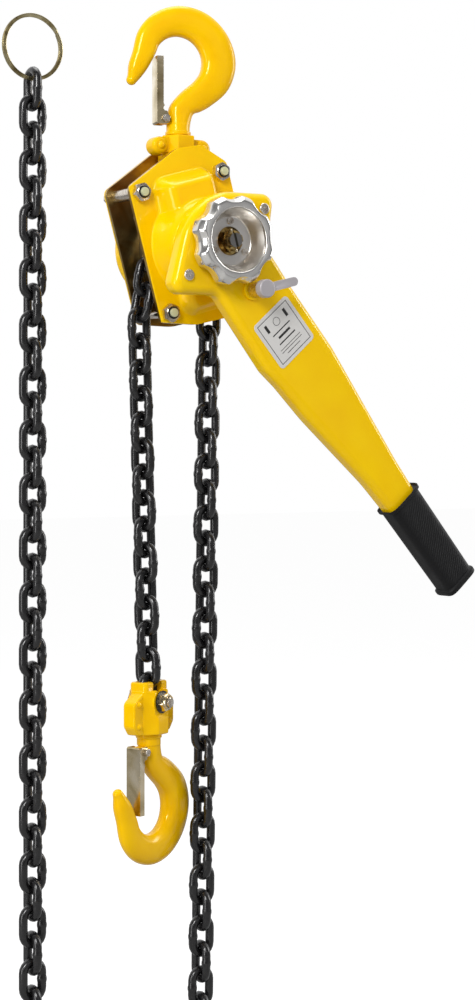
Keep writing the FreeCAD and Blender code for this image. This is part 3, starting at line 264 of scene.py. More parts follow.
def chromePlate():
    # polished casting under bright chrome: a soft mirror with the polish's slow waves, about 12 mm
    material, tree, shader = startMaterial("chromePlate", "#E4E2DE", 0.12, 0.9)
    place = addNode(tree, "ShaderNodeTexCoord").outputs["Object"]
    wave = addNode(tree, "ShaderNodeTexNoise", None, Vector=place, Scale=85.0, Detail=1.0)
    bump = addNode(tree, "ShaderNodeBump", None, Strength=0.03, Distance=0.001, Height=wave.outputs["Fac"])
    tree.links.new(bump.outputs["Normal"], shader.inputs["Normal"])
    smears = addNode(tree, "ShaderNodeTexNoise", None, Vector=place, Scale=160.0, Detail=4.0)
    gloss = addNode(tree, "ShaderNodeMapRange", None, Value=smears.outputs["Fac"], To_Min=0.12, To_Max=0.2)
    tree.links.new(gloss.outputs["Result"], shader.inputs["Roughness"])
    return material


def turnedSteel():
    # cup of the wheel, turned on a lathe: satin rings about 1.2 mm apart round the shaft
    material, tree, shader = startMaterial("turnedSteel", "#E6E2DC", 0.3, 1.0)
    place = addNode(tree, "ShaderNodeTexCoord").outputs["Object"]
    centred = addNode(tree, "ShaderNodeMapping", None, Vector=place,
                      Location=(-pose["shaftX"] * mm, 0, -pose["shaftZ"] * mm))
    rings = addNode(tree, "ShaderNodeTexWave", {"wave_type": "RINGS", "rings_direction": "Y"},
                    Vector=centred.outputs["Vector"], Scale=260.0, Distortion=1.5, Detail=2.0)
    gloss = addNode(tree, "ShaderNodeMapRange", None, Value=rings.outputs["Fac"], To_Min=0.28, To_Max=0.32)
    tree.links.new(gloss.outputs["Result"], shader.inputs["Roughness"])
    return material


def plainSteel(name, colour, roughness, metallic=1.0, grain=600.0, strength=0.1):
    # machined, cast or sprung steel: an even grain, its size from the scale in grains a metre
    material, tree, shader = startMaterial(name, colour, roughness, metallic)
    place = addNode(tree, "ShaderNodeTexCoord").outputs["Object"]
    noise = addNode(tree, "ShaderNodeTexNoise", None, Vector=place, Scale=grain, Detail=3.0)
    gloss = addNode(tree, "ShaderNodeMapRange", None, Value=noise.outputs["Fac"],
                    To_Min=roughness - 0.08, To_Max=roughness + 0.12)
    tree.links.new(gloss.outputs["Result"], shader.inputs["Roughness"])
    bump = addNode(tree, "ShaderNodeBump", None, Strength=strength, Distance=0.0003,
                   Height=noise.outputs["Fac"])
    tree.links.new(bump.outputs["Normal"], shader.inputs["Normal"])
    return material


def mouldedRubber():
    # nitrile rubber from a spark-eroded mould: matt with a fine grain of about 0.5 mm
    material, tree, shader = startMaterial("mouldedRubber", "#0B0B0D", 0.5, Specular_IOR_Level=0.3)
    place = addNode(tree, "ShaderNodeTexCoord").outputs["Object"]
    grain = addNode(tree, "ShaderNodeTexNoise", None, Vector=place, Scale=1900.0, Detail=2.0)
    bump = addNode(tree, "ShaderNodeBump", None, Strength=0.25, Distance=0.0003, Height=grain.outputs["Fac"])
    tree.links.new(bump.outputs["Normal"], shader.inputs["Normal"])
    cloud = addNode(tree, "ShaderNodeTexNoise", None, Vector=place, Scale=60.0, Detail=2.0)
    gloss = addNode(tree, "ShaderNodeMapRange", None, Value=cloud.outputs["Fac"], To_Min=0.42, To_Max=0.62)
    tree.links.new(gloss.outputs["Result"], shader.inputs["Roughness"])
    return material


yellowCoat = paintYellow()
forgingCoat = paintForging()
chainBlack = blackChainSteel()
goldZinc = zincMetal("yellowChromatedZinc", "#D9C48A", "#B08B45", "#6E4A20", 0.3, 34)
paleZinc = zincMetal("clearChromatedZinc", "#FAF0DA", "#DCCCA8", "#A8905C", 0.26, 26)
latchZinc = zincMetal("polishedChromatedZinc", "#FFF4DE", "#DCCBA4", "#8E7A4C", 0.17, 30)
silverZinc = zincMetal("brightZinc", "#F6F2EA", "#DDD3C6", "#AFA292", 0.24, 9)
# castle nut: yellow chromated zinc in a dark brownish gold; its small dark clouds are painted shade of the
# deep hole and of the gaps between the castellations, its bright clouds painted glints
castleNutZincPaintedLight = zincMetal("oiledBronzeZinc", "#E8CF8C", "#A8864A", "#4A3618", 0.24, 7)
ringZinc = zincMetal("chromatedSpringSteel", "#D8CCA2", "#AE9F72", "#6B5A34", 0.24, 16)
chrome = chromePlate()
cupSteel = turnedSteel()
machined = plainSteel("machinedSteel", "#8F8D8A", 0.3)
castZinc = plainSteel("sandblastedZincCasting", "#B4AFB2", 0.42, 0.35, 900.0, 0.15)
springSteel = plainSteel("springWire", "#5A5650", 0.3)
boltEnd = plainSteel("greenChromatedThread", "#D6D9AE", 0.35, 0.3, 1100.0, 0.2)
nylon = plainSteel("blackNylon", "#0C0C0D", 0.55, 0.0, 1500.0, 0.1)
lining = plainSteel("brakeLining", "#4A3526", 0.8, 0.0, 700.0, 0.6)
rubber = mouldedRubber()
labelFilm = plainSteel("brushedLabelFilm", "#D9D7D4", 0.35, 0.15, 1400.0, 0.05)
labelInk = plainSteel("printedInk", "#1E1C1C", 0.5, 0.0, 1500.0, 0.05)
print("materials made")

# ---- camera, floor and light
view = {"spot": (-1.0044, -1.6298, -0.3729), "look": (0.549, 0.8358, 0.0), "lens": 74.13, "drop": -0.0620,
        "floor": -1.062, "floorReach": 14.0, "floorGlow": 0.74}
camera = bpy.data.objects.new("camera", bpy.data.cameras.new("camera"))
camera.data.sensor_fit = "VERTICAL"
camera.data.sensor_height = 36.0
camera.data.lens = view["lens"]
camera.data.shift_y = view["drop"]
camera.location = view["spot"]
camera.rotation_euler = Vector(view["look"]).to_track_quat("-Z", "Y").to_euler()
scene.collection.objects.link(camera)
scene.camera = camera
scene.view_settings.view_transform = "Standard"


def whiteBehind(material, strength, base):
    # plain surface that adds a glow for the camera only, so the ground reads white and keeps shadows
    tree = material.node_tree
    tree.nodes.clear()
    rays = addNode(tree, "ShaderNodeLightPath")
    glow = addNode(tree, "ShaderNodeMath", {"operation": "MULTIPLY"}, in0=rays.outputs["Is Camera Ray"],
                   in1=strength)
    shine = addNode(tree, "ShaderNodeEmission", None, Strength=glow.outputs[0])
    matt = addNode(tree, "ShaderNodeBsdfDiffuse", None, Color=linear(base))
    both = addNode(tree, "ShaderNodeAddShader", None, in0=shine.outputs[0], in1=matt.outputs[0])
    addNode(tree, "ShaderNodeOutputMaterial", None, Surface=both.outputs[0])


floorMesh = bpy.data.meshes.new("floor")
corners = [(x * view["floorReach"], y * view["floorReach"], view["floor"])
           for x, y in ((-1, -1), (1, -1), (1, 1), (-1, 1))]
floorMesh.from_pydata(corners, [], [(0, 1, 2, 3)])
floor = bpy.data.objects.new("floor", floorMesh)
scene.collection.objects.link(floor)
floorMaterial = bpy.data.materials.new("paleFloor")
floorMaterial.use_nodes = True
whiteBehind(floorMaterial, view["floorGlow"], "#A8A8A8")
floorMesh.materials.append(floorMaterial)

studio = {
    "room": [(0.1, "#6C6C6E"), (0.27, "#C8C8CA"), (0.36, "#8C8C8E"), (0.43, "#3C3C3E"), (0.55, "#8C8C8E"),
             (0.72, "#FAFAFA")],
    "daylight": 0.62, "aim": (0, 0, -0.4),
}
world = bpy.data.worlds.new("studio")
scene.world = world
world.use_nodes = True
tree = world.node_tree
tree.nodes.clear()
rays = addNode(tree, "ShaderNodeLightPath")
place = addNode(tree, "ShaderNodeTexCoord").outputs["Generated"]
# mirrors see a bright backdrop behind the hoist, a dark band beside it and a fair room in front
behind = addNode(tree, "ShaderNodeVectorMath", {"operation": "DOT_PRODUCT"}, in0=place, in1=(0.5, 0.76, 0.42))
shifted = addNode(tree, "ShaderNodeMapRange", None, Value=behind.outputs["Value"], From_Min=-1.0,
                  From_Max=1.0)
dim = ramp(tree, shifted.outputs["Result"], studio["room"])
room = addNode(tree, "ShaderNodeBackground", None, Color=dim.outputs["Color"], Strength=1.0)
soft = addNode(tree, "ShaderNodeBackground", None, Color=(1, 1, 1, 1), Strength=studio["daylight"])
white = addNode(tree, "ShaderNodeBackground", None, Color=(1, 1, 1, 1), Strength=1.0)
lit = addNode(tree, "ShaderNodeMixShader", None, in0=rays.outputs["Is Glossy Ray"], in1=soft.outputs[0],
              in2=room.outputs[0])
mix = addNode(tree, "ShaderNodeMixShader", None, in0=rays.outputs["Is Camera Ray"], in1=lit.outputs[0],
              in2=white.outputs[0])
addNode(tree, "ShaderNodeOutputWorld", None, Surface=mix.outputs[0])

lamps = {
    "keyLamp": {"spot": (-1.9, -1.5, 0.9), "power": 40.0, "size": (0.5, 1.0)},
    "fillLamp": {"spot": (2.3, -0.8, 0.3), "power": 18.0, "size": (0.4, 1.6)},
    "topLamp": {"spot": (0.1, 0.3, 1.6), "power": 16.0, "size": (1.2, 1.2)},
    "sideLamp": {"spot": (-2.2, -0.4, -0.35), "power": 13.0, "size": (0.5, 1.4)},
}
for lampName, values in lamps.items():
    lampData = bpy.data.lights.new(lampName, "AREA")
    lampData.shape = "RECTANGLE"
    lampData.size, lampData.size_y = values["size"]
    lampData.energy = values["power"]
    lamp = bpy.data.objects.new(lampName, lampData)
    lamp.location = values["spot"]
    lamp.rotation_euler = (Vector(studio["aim"]) - Vector(values["spot"])).to_track_quat("-Z", "Y").to_euler()
    scene.collection.objects.link(lamp)
print("camera and light set")

# ---- chain
chain = {
    "wire": 8.0, "clear": 10.5, "inside": 24.35, "nearJoint": 6.75, "farJoint": 17.25, "pockets": 4,
    "phase": 158.3, "guide": (-44.4, -52.5), "guideGap": 17.0, "lean": 1.7, "links": 15,
    "twists": (0.0, 4.0, 9.0), "firstTwist": 13.0, "lastTwist": 25.0, "boltDrop": 4.7,
    "slackLinks": 80, "slackLean": 0.78, "slackLeft": -151.8, "slackEnd": -45.5, "loopDepth": 135.0,
    "weld": 0.55,
}
jointRing = math.sqrt(
    chain["nearJoint"] ** 2 + chain["farJoint"] ** 2
    + 2 * chain["nearJoint"] * chain["farJoint"] * math.cos(math.pi / chain["pockets"])
) / math.sin(math.pi / chain["pockets"])


def linkGrid():
    # round wire carried along an oval: two half circles and two straight legs, thicker at the weld on one leg
    bend, leg = (chain["clear"] + chain["wire"]) / 2, (chain["inside"] - chain["clear"]) / 2
    arc = np.radians(np.linspace(0, 180, 11))
    weld = np.array([-3.0, -1.5, 0.0, 1.5, 3.0])
    bead = np.array([0.0, 0.75, 1.0, 0.75, 0.0])
    x = np.concatenate([bend * np.cos(arc), np.full(5, -bend), -bend * np.cos(arc)])
    z = np.concatenate([leg + bend * np.sin(arc), -weld, -leg - bend * np.sin(arc)])
    outX = np.concatenate([np.cos(arc), np.full(5, -1.0), -np.cos(arc)])
    outZ = np.concatenate([np.sin(arc), np.zeros(5), -np.sin(arc)])
    radius = np.full(len(x), chain["wire"] / 2)
    radius[len(arc):len(arc) + len(weld)] += chain["weld"] * bead
    around = np.linspace(0, 2 * math.pi, 12, endpoint=False)
    c, s = np.cos(around)[None], np.sin(around)[None]
    r = radius[:, None]
    return np.stack([x[:, None] + outX[:, None] * r * c, r * s + 0 * x[:, None],
                     z[:, None] + outZ[:, None] * r * c], -1)


def linkRun(starts, ends, flats, twists):
    # every link of a run: the oval turned about its length, then laid between its two joints
    grid = linkGrid()
    grids = []
    for start, end, flat, twist in zip(starts, ends, flats, twists):
        a = math.radians((90 if flat else 0) + twist)
        x = grid[..., 0] * math.cos(a) - grid[..., 1] * math.sin(a)
        y = grid[..., 0] * math.sin(a) + grid[..., 1] * math.cos(a)
        along = (start - end) / np.linalg.norm(start - end)
        middle = (start + end) / 2
        px = middle[0] + x * along[1] + grid[..., 2] * along[0]
        pz = middle[1] - x * along[0] + grid[..., 2] * along[1]
        grids.append((np.stack([px, y, pz], -1), True, True))
    return grids


def span(flat):
    return 2 * (chain["farJoint"] if flat else chain["nearJoint"])


shaft = np.array([pose["shaftX"], pose["shaftZ"]])
upright = 2 * math.degrees(math.asin(chain["nearJoint"] / jointRing))
flatTurn = 360 / chain["pockets"] - upright
angles = np.radians(chain["phase"] - np.cumsum([0, upright, flatTurn, upright, flatTurn]))
seated = [shaft + jointRing * np.array([math.cos(a), math.sin(a)]) for a in angles]
guidePoint = hang(np.array(chain["guide"][0]), 0.0, np.array(chain["guide"][1]))[[0, 2]]
guidePoint = guidePoint + np.array([-chain["guideGap"], 0])
leadWay = (guidePoint - seated[0]) / np.linalg.norm(guidePoint - seated[0])
lead = [seated[0]]
for flat in (True, False, True):
    lead.append(lead[-1] + leadWay * span(flat))
fallWay = np.array([math.sin(math.radians(chain["lean"])), -math.cos(math.radians(chain["lean"]))])
fallFlats = [i % 2 == 1 for i in range(chain["links"])]
fall = [lead[-1]]
for flat in fallFlats:
    fall.append(fall[-1] + fallWay * span(flat))
fallTwists = np.linspace(chain["firstTwist"], chain["lastTwist"], chain["links"])


def slackPoint(way, bottom):
    # down the exit fall, round half an ellipse, up to the ring
    lean = math.tan(math.radians(chain["slackLean"]))
    top = bottom + chain["loopDepth"]
    down = seated[-1][1] - top
    right = seated[-1][0] - down * lean
    if way < down:
        return np.array([seated[-1][0] - way * lean, seated[-1][1] - way])
    if way < down + 2 * chain["loopDepth"]:
        turn = math.pi * (way - down) / (2 * chain["loopDepth"])
        half = (right - chain["slackLeft"]) / 2
        return np.array([chain["slackLeft"] + half + half * math.cos(turn),
                         top - chain["loopDepth"] * math.sin(turn)])
    return np.array([chain["slackLeft"], top + way - down - 2 * chain["loopDepth"]])


def slackJoints(bottom):
    joints, place = [slackPoint(0.0, bottom)], 0.0
    for i in range(chain["slackLinks"]):
        low, high = place, place + 90.0
        for _ in range(34):
            middle = (low + high) / 2
            if np.linalg.norm(slackPoint(middle, bottom) - joints[-1]) < span(i % 2 == 1):
                low = middle
            else:
                high = middle
        place = low
        joints.append(slackPoint(place, bottom))
    return joints


low, high = -1600.0, -500.0
for _ in range(30):
    middle = (low + high) / 2
    slack = slackJoints(middle)
    if slack[-1][1] > chain["slackEnd"]:
        high = middle
    else:
        low = middle
slackFlats = [i % 2 == 1 for i in range(chain["slackLinks"])]
runs = {
    "sheaveLinks": (seated, [False, True, False, True], [0.0] * 4, "sheave", "sheave_links"),
    "leadLinks": (lead, [True, False, True], chain["twists"], "lead", "lead_links"),
    "swivelLink": (fall[:2], fallFlats[:1], fallTwists[:1], "swivel_link", "swivel_link"),
    "loadFall": (fall[1:], fallFlats[1:], fallTwists[1:], "fall", "load_chain"),
    "slackFall": (slack, slackFlats, [0.0] * chain["slackLinks"], "slack", "slack_chain"),
}
for name, (joints, flats, twists, body, node) in runs.items():
    links = linkRun(joints[:-1], joints[1:], flats, twists)
    addPiece(name, links, chainBlack, body, (node,), 80)
print("chain made")

# ---- split ring at the slack end
ring = {"radius": 28.2, "wide": 3.4, "thick": 1.66, "x": -151.8, "z": -25.275, "turns": 2.0, "gap": 0.1,
        "start": 0.55, "squareness": 0.55, "crossing": 0.4}


def splitRing():
    # flat wire with round edges carried round Y twice, crossing from turn to turn in one short slope
    a = np.linspace(0, 2 * math.pi * ring["turns"], 240)
    pitch = ring["thick"] + ring["gap"]
    crossing = (a - 2 * math.pi) / (2 * ring["crossing"])
    y = pitch * np.clip(crossing, -0.5, 0.5)
    around = np.linspace(0, 2 * math.pi, 14, endpoint=False)
    c, s = np.cos(around), np.sin(around)
    power = ring["squareness"]
    c, s = np.sign(c) * np.abs(c) ** power, np.sign(s) * np.abs(s) ** power
    scale = np.ones_like(a)
    scale[0] = scale[-1] = 0.0
    r = ring["radius"] + scale[:, None] * ring["wide"] / 2 * c[None]
    start = a[:, None] + ring["start"]
    return np.stack([ring["x"] + r * np.cos(start), y[:, None] + scale[:, None] * ring["thick"] / 2 * s[None],
                     ring["z"] + r * np.sin(start)], -1)


addPiece("splitRing", [(splitRing(), False, True)], ringZinc, "ring", ("end_ring",), 40)

# ---- hooks
hook = {
    "bowl": 23.3, "turn": -14.0, "lowerTurn": 21.0, "tip": (-45.0, -42.6),
    "tipRound": 4.9, "tipOut": (-0.86, 0.51), "lug": (4.0, 4.6, -14.5, -77.5), "lugReach": 11.0,
    "ridge": 0.16, "power": 0.8, "boltDrop": 122.6,
    "thick": ((-50, 27.5), (-26, 31.0), (0, 33.0), (30, 32.0), (60, 30.5), (90, 28.5), (120, 26.0),
              (145, 23.5), (168, 21.0)),
    # x, z, way out x, way out z, half thickness, half width, squareness, share of the ridge
    "stem": ((0.3, -86.0, 1, 0, 10.6, 10.6, 1.0, 0.0), (1.0, -77.0, 0.995, -0.1, 11.2, 9.9, 0.95, 0.0),
             (3.0, -69.0, 0.97, -0.24, 11.9, 9.3, 0.85, 0.3),
             (11.0, -61.5, 0.83, -0.56, 13.0, 9.3, 0.82, 0.7)),
    "beak": (-40.3, -32.5, -0.93, 0.37, 8.2, 7.2, 0.85, 0.6),
    # radius and height of the collar under the neck and of the swivel shank with its head
    "collar": ((0, -92.2, 0), (12.0, -92.2, 0.8), (12.0, -89.0, 1.2), (11.0, -88.7, 0.6), (11.0, -82.2, 0.8),
               (0, -82.0, 0)),
    "shank": ((0, -92.4), (8.0, -92.4), (8.0, -99.2), (12.0, -99.2), (12.0, -106.0), (0, -106.0)),
}


def hookGrid():
    # closed sections along the hook's centre line: half thickness across, half width along Y,
    # wider on the inside of the bowl than on its back
    rows = [*hook["stem"]]
    for angle, thick in hook["thick"]:
        a = math.radians(angle)
        wide = 10.3 - 2.3 * max(0, angle) / 168 - 0.7 * max(0, -26 - angle) / 24
        reach = hook["bowl"] + thick / 2
        rows.append((reach * math.cos(a), -hook["bowl"] + reach * math.sin(a), math.cos(a), math.sin(a),
                     thick / 2, wide, hook["power"], 1.0))
    rows.append(hook["beak"])
    tip, ball, (outX, outZ) = hook["tip"], hook["tipRound"], hook["tipOut"]
    for degrees in (0, 25, 48, 68, 82, 90):
        a = math.radians(degrees)
        rows.append((tip[0] - outZ * ball * math.sin(a), tip[1] + outX * ball * math.sin(a), outX, outZ,
                     ball * math.cos(a), ball * math.cos(a), 1.0, 0.0))
    rows = np.array(rows)
    gaps = np.sqrt(np.sum(np.diff(rows[:, :2], axis=0) ** 2, 1))
    places = np.concatenate([[0], np.cumsum(np.maximum(gaps, 0.6))])
    fine = [np.linspace(places[i], places[i + 1], 7)[:-1] for i in range(len(places) - 1)]
    fine = np.concatenate(fine + [places[-1:]])
    slopes = np.gradient(rows, places, axis=0)
    cell = np.clip(np.searchsorted(places, fine, side="right") - 1, 0, len(places) - 2)
    width = (places[cell + 1] - places[cell])[:, None]
    t = ((fine - places[cell])[:, None]) / width
    curve = ((2 * t ** 3 - 3 * t ** 2 + 1) * rows[cell] + (t ** 3 - 2 * t ** 2 + t) * width * slopes[cell]
             + (-2 * t ** 3 + 3 * t ** 2) * rows[cell + 1] + (t ** 3 - t ** 2) * width * slopes[cell + 1])
    curve[-1] = rows[-1]
    norm = np.sqrt(curve[:, 2] ** 2 + curve[:, 3] ** 2)[:, None]
    curve[:, 2:4] /= norm
    around = np.linspace(0, 2 * math.pi, 48, endpoint=False)
    c, s = np.cos(around)[None], np.sin(around)[None]
    power = curve[:, 6:7]
    c, s = np.sign(c) * np.abs(c) ** power, np.sign(s) * np.abs(s) ** power
    thick, wide = np.maximum(curve[:, 4:5], 0), np.maximum(curve[:, 5:6], 0)
    x = curve[:, 0:1] + curve[:, 2:3] * thick * c
    z = curve[:, 1:2] + curve[:, 3:4] * thick * c
    y = wide * s * (1 - hook["ridge"] * curve[:, 7:8] * (0.35 + 0.65 * c))
    return np.stack([x, y, z], -1)


def turnedGrid(outline):
    # profile of (radius, height) turned about Z
    a = np.linspace(0, 2 * math.pi, 48, endpoint=False)[None]
    r, z = outline[:, 0:1], outline[:, 1:2]
    return np.stack([r * np.cos(a), r * np.sin(a), z + 0 * a], -1)


def lugGrid(half, radius, x, z):
    # short boss along Y with rounded ends, round on one side and drawn out into the hook on the other
    outline = softPath([(0, -half, 0), (radius, -half, 0.8), (radius, half, 0.8), (0, half, 0)])
    a = np.linspace(0, 2 * math.pi, 32, endpoint=False)[None] + 0.01
    r, y = outline[:, 0:1], outline[:, 1:2]
    drawn = np.where(np.cos(a) > 0, hook["lugReach"], 0.0) * np.minimum(r, 1.0)
    return np.stack([x + r * np.cos(a) + drawn, y + 0 * a, z + r * np.sin(a)], -1)


def placeHook(grid, lower):
    x, y, z = grid[..., 0], grid[..., 1], grid[..., 2]
    turn = math.radians(hook["lowerTurn"] if lower else hook["turn"])
    if lower:
        y, z = -y, -z
    px = x * math.cos(turn) - y * math.sin(turn)
    py = x * math.sin(turn) + y * math.cos(turn)
    if lower:
        px, z = px + boltPlace[0], z + boltPlace[1] - hook["boltDrop"]
    return np.stack([px, py, z], -1)


lastCentre = (fall[-1] + fall[-2]) / 2
boltPlace = lastCentre + fallWay * (chain["nearJoint"] + chain["clear"] / 2 - chain["boltDrop"])
hookBody = hookGrid()
stemEnd = np.zeros_like(hookBody[:1]) + np.array([hook["stem"][0][0], 0, hook["stem"][0][1]])
hookParts = [np.concatenate([stemEnd, hookBody]), turnedGrid(softPath(hook["collar"])),
             turnedGrid(np.array(hook["shank"])), lugGrid(*hook["lug"])]
for name, lower, body, node in (("topHookForging", False, "top_hook", "top_hook"),
                                ("loadHookForging", True, "lower_hook", "lower_hook")):
    grids = [(placeHook(part, lower), False, True) for part in hookParts]
    addPiece(name, grids, forgingCoat, body, (node,), 50)
print("hooks made")

# ---- brake cover
cover = {
    "outline": ((-54.5, 67.5, 7), (5.0, 90.5, 14), (31.0, 88.5, 10), (54.5, 67.5, 7), (54.5, -59, 9),
                (19.1, -72, 30), (-19.1, -70, 30), (-54.5, -59, 6)),
    "front": -24.0, "wall": 2.0, "hole": 18.5,
    "drum": 47.8, "drumDepth": 28.0, "chest": (-31.0, 33.5, 69.5), "chestDepth": 20.0,
    "belly": (31.0, -61.5), "bellyDepth": 11.0, "shoulder": 13.0, "blend": 2.6, "hem": 0.6,
}


def coverDepth(x, z):
    # height of the pressing over its flange: a round drum, a chest above and a belly below, softly joined
    def rise(distance, depth, width):
        t = np.clip(distance / width, 0, 1)
        return depth * (1 - (1 - t ** 1.5) ** 3)

    def inBox(x0, x1, z0, z1, corner):
        px = np.abs(x - (x0 + x1) / 2) - (x1 - x0) / 2 + corner
        pz = np.abs(z - (z0 + z1) / 2) - (z1 - z0) / 2 + corner
        return corner - (np.hypot(np.maximum(px, 0), np.maximum(pz, 0)) + np.minimum(np.maximum(px, pz), 0))

    drum = rise(cover["drum"] - np.hypot(x, z), cover["drumDepth"], cover["shoulder"])
    left, right, top = cover["chest"]
    chest = rise(inBox(left, right, -20, top, 13.0), cover["chestDepth"], cover["shoulder"] + 2)
    half, low = cover["belly"]
    belly = rise(inBox(-half, half, low, 10, 14.0), cover["bellyDepth"], cover["shoulder"])
    k = cover["blend"]
    stack = np.stack([drum, chest, belly])
    top = stack.max(0)
    return top + k * np.log(np.exp((stack - top) / k).sum(0)) - k * math.log(3) * np.exp(-top / 3)


def coverGrid():
    # rings from the hub hole out to the rim, over the edge, and back inside the wall
    outline = softPath(cover["outline"], 8)
    outline = np.concatenate([outline, outline[:1]])
    dense = [np.linspace(outline[i], outline[i + 1], 30)[:-1] for i in range(len(outline) - 1)]
    dense = np.concatenate(dense)
    dense = dense[np.argsort(np.arctan2(dense[:, 1], dense[:, 0]))]
    bearing = np.arctan2(dense[:, 1], dense[:, 0])
    a = np.linspace(-math.pi, math.pi, 260, endpoint=False)
    rim = np.interp(a, bearing, np.hypot(dense[:, 0], dense[:, 1]), period=2 * math.pi)
    t = np.linspace(0, 1, 72)[:, None]
    r = cover["hole"] + (rim[None] - cover["hole"]) * t
    x, z = r * np.cos(a), r * np.sin(a)
    depth = np.maximum(coverDepth(x, z), 0)
    depth[-1] = 0
    outer = np.stack([x, cover["front"] - depth, z], -1)
    inner = outer + np.array([0, cover["wall"], 0])
    hem, wall = cover["hem"], cover["wall"]
    edge = softPath([(0, 0, 0), (hem, 0.15, 0.3), (hem, wall - 0.3, 0.3), (0, wall, 0)], 4)[1:-1]
    edgeR = rim[None] + edge[:, 0:1] - hem
    rims = np.stack([edgeR * np.cos(a), cover["front"] + edge[:, 1:2] + 0 * edgeR, edgeR * np.sin(a)], -1)
    grid = np.concatenate([outer[:-1], rims, inner[:-1][::-1]])
    return hang(grid[..., 0], grid[..., 1], grid[..., 2])


addPiece("brakeCoverPressing", [(coverGrid(), True, True)], yellowCoat, "hoist_body", ("brake_cover",),
         55)

# ---- nuts: a bright hexagon, a nylon ring in its crown, the thread's end in the middle
# nylon and thread: inner and outer radius, low and high over the plate
nuts = {"af": 15.5, "height": 7.0, "crown": 6.2, "bore": 4.2, "flange": 24.0, "turnStep": 12.0,
        "nylon": (4.25, 5.9, 5.6, 7.5), "thread": (0.0, 4.1, 5.0, 9.2),
        "places": ((-44.4, 60.0), (44.4, 60.0), (-44.4, -52.5), (44.4, -52.5))}
blockNut = {"af": 15.0, "height": 6.8, "crown": 6.6, "bore": 4.7, "face": -15.6, "washer": 10.4,
            "washerThick": 1.4, "turn": 10.0}


def inBlock(x, y, z):
    # from the load block's own frame, round its chain bolt, to the world
    turn = math.radians(chain["lastTwist"])
    return np.stack([x * math.cos(turn) - y * math.sin(turn) + boltPlace[0],
                     x * math.sin(turn) + y * math.cos(turn), z + boltPlace[1]], -1)


def hexNut(x, z, face, way, turn, size, place):
    # hexagon below a round crown, as rings of points: flats by clipping the radius
    a = np.linspace(0, 2 * math.pi, 72, endpoint=False)
    flat = size["af"] / 2 / np.cos((a - math.radians(turn)) % (math.pi / 3) - math.pi / 6)
    tip, crown, bore, top = size["af"] / 2 * 1.09, size["crown"], size["bore"], size["height"]
    rings = []
    for height, limit in ((0.0, tip), (0.06, 99), (0.61, 99), (0.73, tip), (0.76, crown), (0.95, crown - 0.2),
                          (1.0, crown - 0.6), (1.0, bore + 0.2), (0.88, bore), (0.0, bore)):
        r = np.minimum(flat, limit) if limit > crown else np.full_like(a, limit)
        y = np.full_like(a, face + way * height * top)
        rings.append(np.stack([x + r * np.cos(a), y, z + r * np.sin(a)], -1))
    g = np.stack(rings)
    return place(g[..., 0], g[..., 1], g[..., 2])


def boltCap(x, z, face, way, inner, outer, low, high, place):
    # ring or disc about Y, with a round outer edge at its top
    outline = softPath([(inner, low, 0), (outer, low, 0), (outer, high, 0.8), (inner, high, 0)], 4)
    a = np.linspace(0, 2 * math.pi, 28, endpoint=False)[None]
    r, y = outline[:, 0:1], outline[:, 1:2]
    return place(x + r * np.cos(a), face + way * y + 0 * a, z + r * np.sin(a))


for name, way, node in (("brakeSideNuts", -1, "brake_side_nuts"), ("gearSideNuts", 1, "gear_side_nuts")):
    face = way * nuts["flange"]
    places = nuts["places"]
    shells = [(hexNut(x, z, face, way, nuts["turnStep"] * i, nuts, hang), True, True)
              for i, (x, z) in enumerate(places)]
    addPiece(name, shells, silverZinc, "hoist_body", (node,), 28)
    shells = [(boltCap(x, z, face, way, *nuts["nylon"], hang), True, True) for x, z in places]
    addPiece(name + "Nylon", shells, nylon, "hoist_body", (), 40)
    shells = [(boltCap(x, z, face, way, *nuts["thread"], hang), False, True) for x, z in places]
    addPiece(name + "Thread", shells, boltEnd, "hoist_body", (), 40)
nut = hexNut(0, 0, blockNut["face"], -1, blockNut["turn"], blockNut, inBlock)
addPiece("chainBoltNut", [(nut, True, True)], latchZinc, "block", ("chain_bolt_nut",), 28)
washer = boltCap(0, 0, blockNut["face"], 1, blockNut["bore"], blockNut["washer"], 0.0,
                 blockNut["washerThick"], inBlock)
addPiece("chainBoltWasher", [(washer, True, True)], chainBlack, "block", (), 40)
print("body dressed")

# ---- hand wheel
wheel = {
    "lobes": 8, "radius": 40.5, "scallop": 4.2, "scallopRound": 14.0, "soft": 1.5, "crest": 12.6,
    "lobeFrom": 32.0, "lobeFade": 5.5,
    # corners of the profiles: radius, y, rounding
    "rim": ((28.6, -94.4, 0), (28.9, -98.0, 3.2), (36.6, -98.0, 4.5), (40.5, -91.5, 6.0), (40.5, -81.5, 3),
            (38.0, -78.0, 1.5), (14.0, -78.0, 0.5), (14.0, -79.0, 0)),
    "cup": ((28.6, -94.4, 0), (22.4, -81.4, 2.6), (20.5, -80.7, 1.0), (14.0, -80.7, 0), (14.0, -79.0, 0)),
    "disc": ((12.9, -80.4, 0), (12.9, -81.5, 0.4), (21.6, -81.5, 0.5), (21.8, -80.4, 0)),
}


def wheelGrid(corners, lobed):
    # profile of (radius, y) turned about the shaft; the rim's radius waves with the lobes
    outline = softPath(corners, 7)
    a = np.linspace(0, 2 * math.pi, 288, endpoint=False)[None]
    # each scallop is a circle cut into the rim's circle, and the two are blended by a soft minimum
    step = 2 * math.pi / wheel["lobes"]
    off = (a - math.radians(wheel["crest"])) % step - step / 2
    centre = wheel["radius"] - wheel["scallop"] + wheel["scallopRound"]
    under = wheel["scallopRound"] ** 2 - (centre * np.sin(off)) ** 2
    cut = np.where(under > 0, centre * np.cos(off) - np.sqrt(np.maximum(under, 0)), 2 * wheel["radius"])
    soft = wheel["soft"]
    dip = soft * np.log(1 + np.exp((wheel["radius"] - cut) / soft)) - soft / 6
    r, y = outline[:, 0:1], outline[:, 1:2]
    share = np.clip((r - wheel["lobeFrom"]) / wheel["lobeFade"], 0, 1) ** 1.2 if lobed else 0 * r
    r = r - dip * share
    return hang(r * np.cos(a), y + 0 * a, r * np.sin(a))


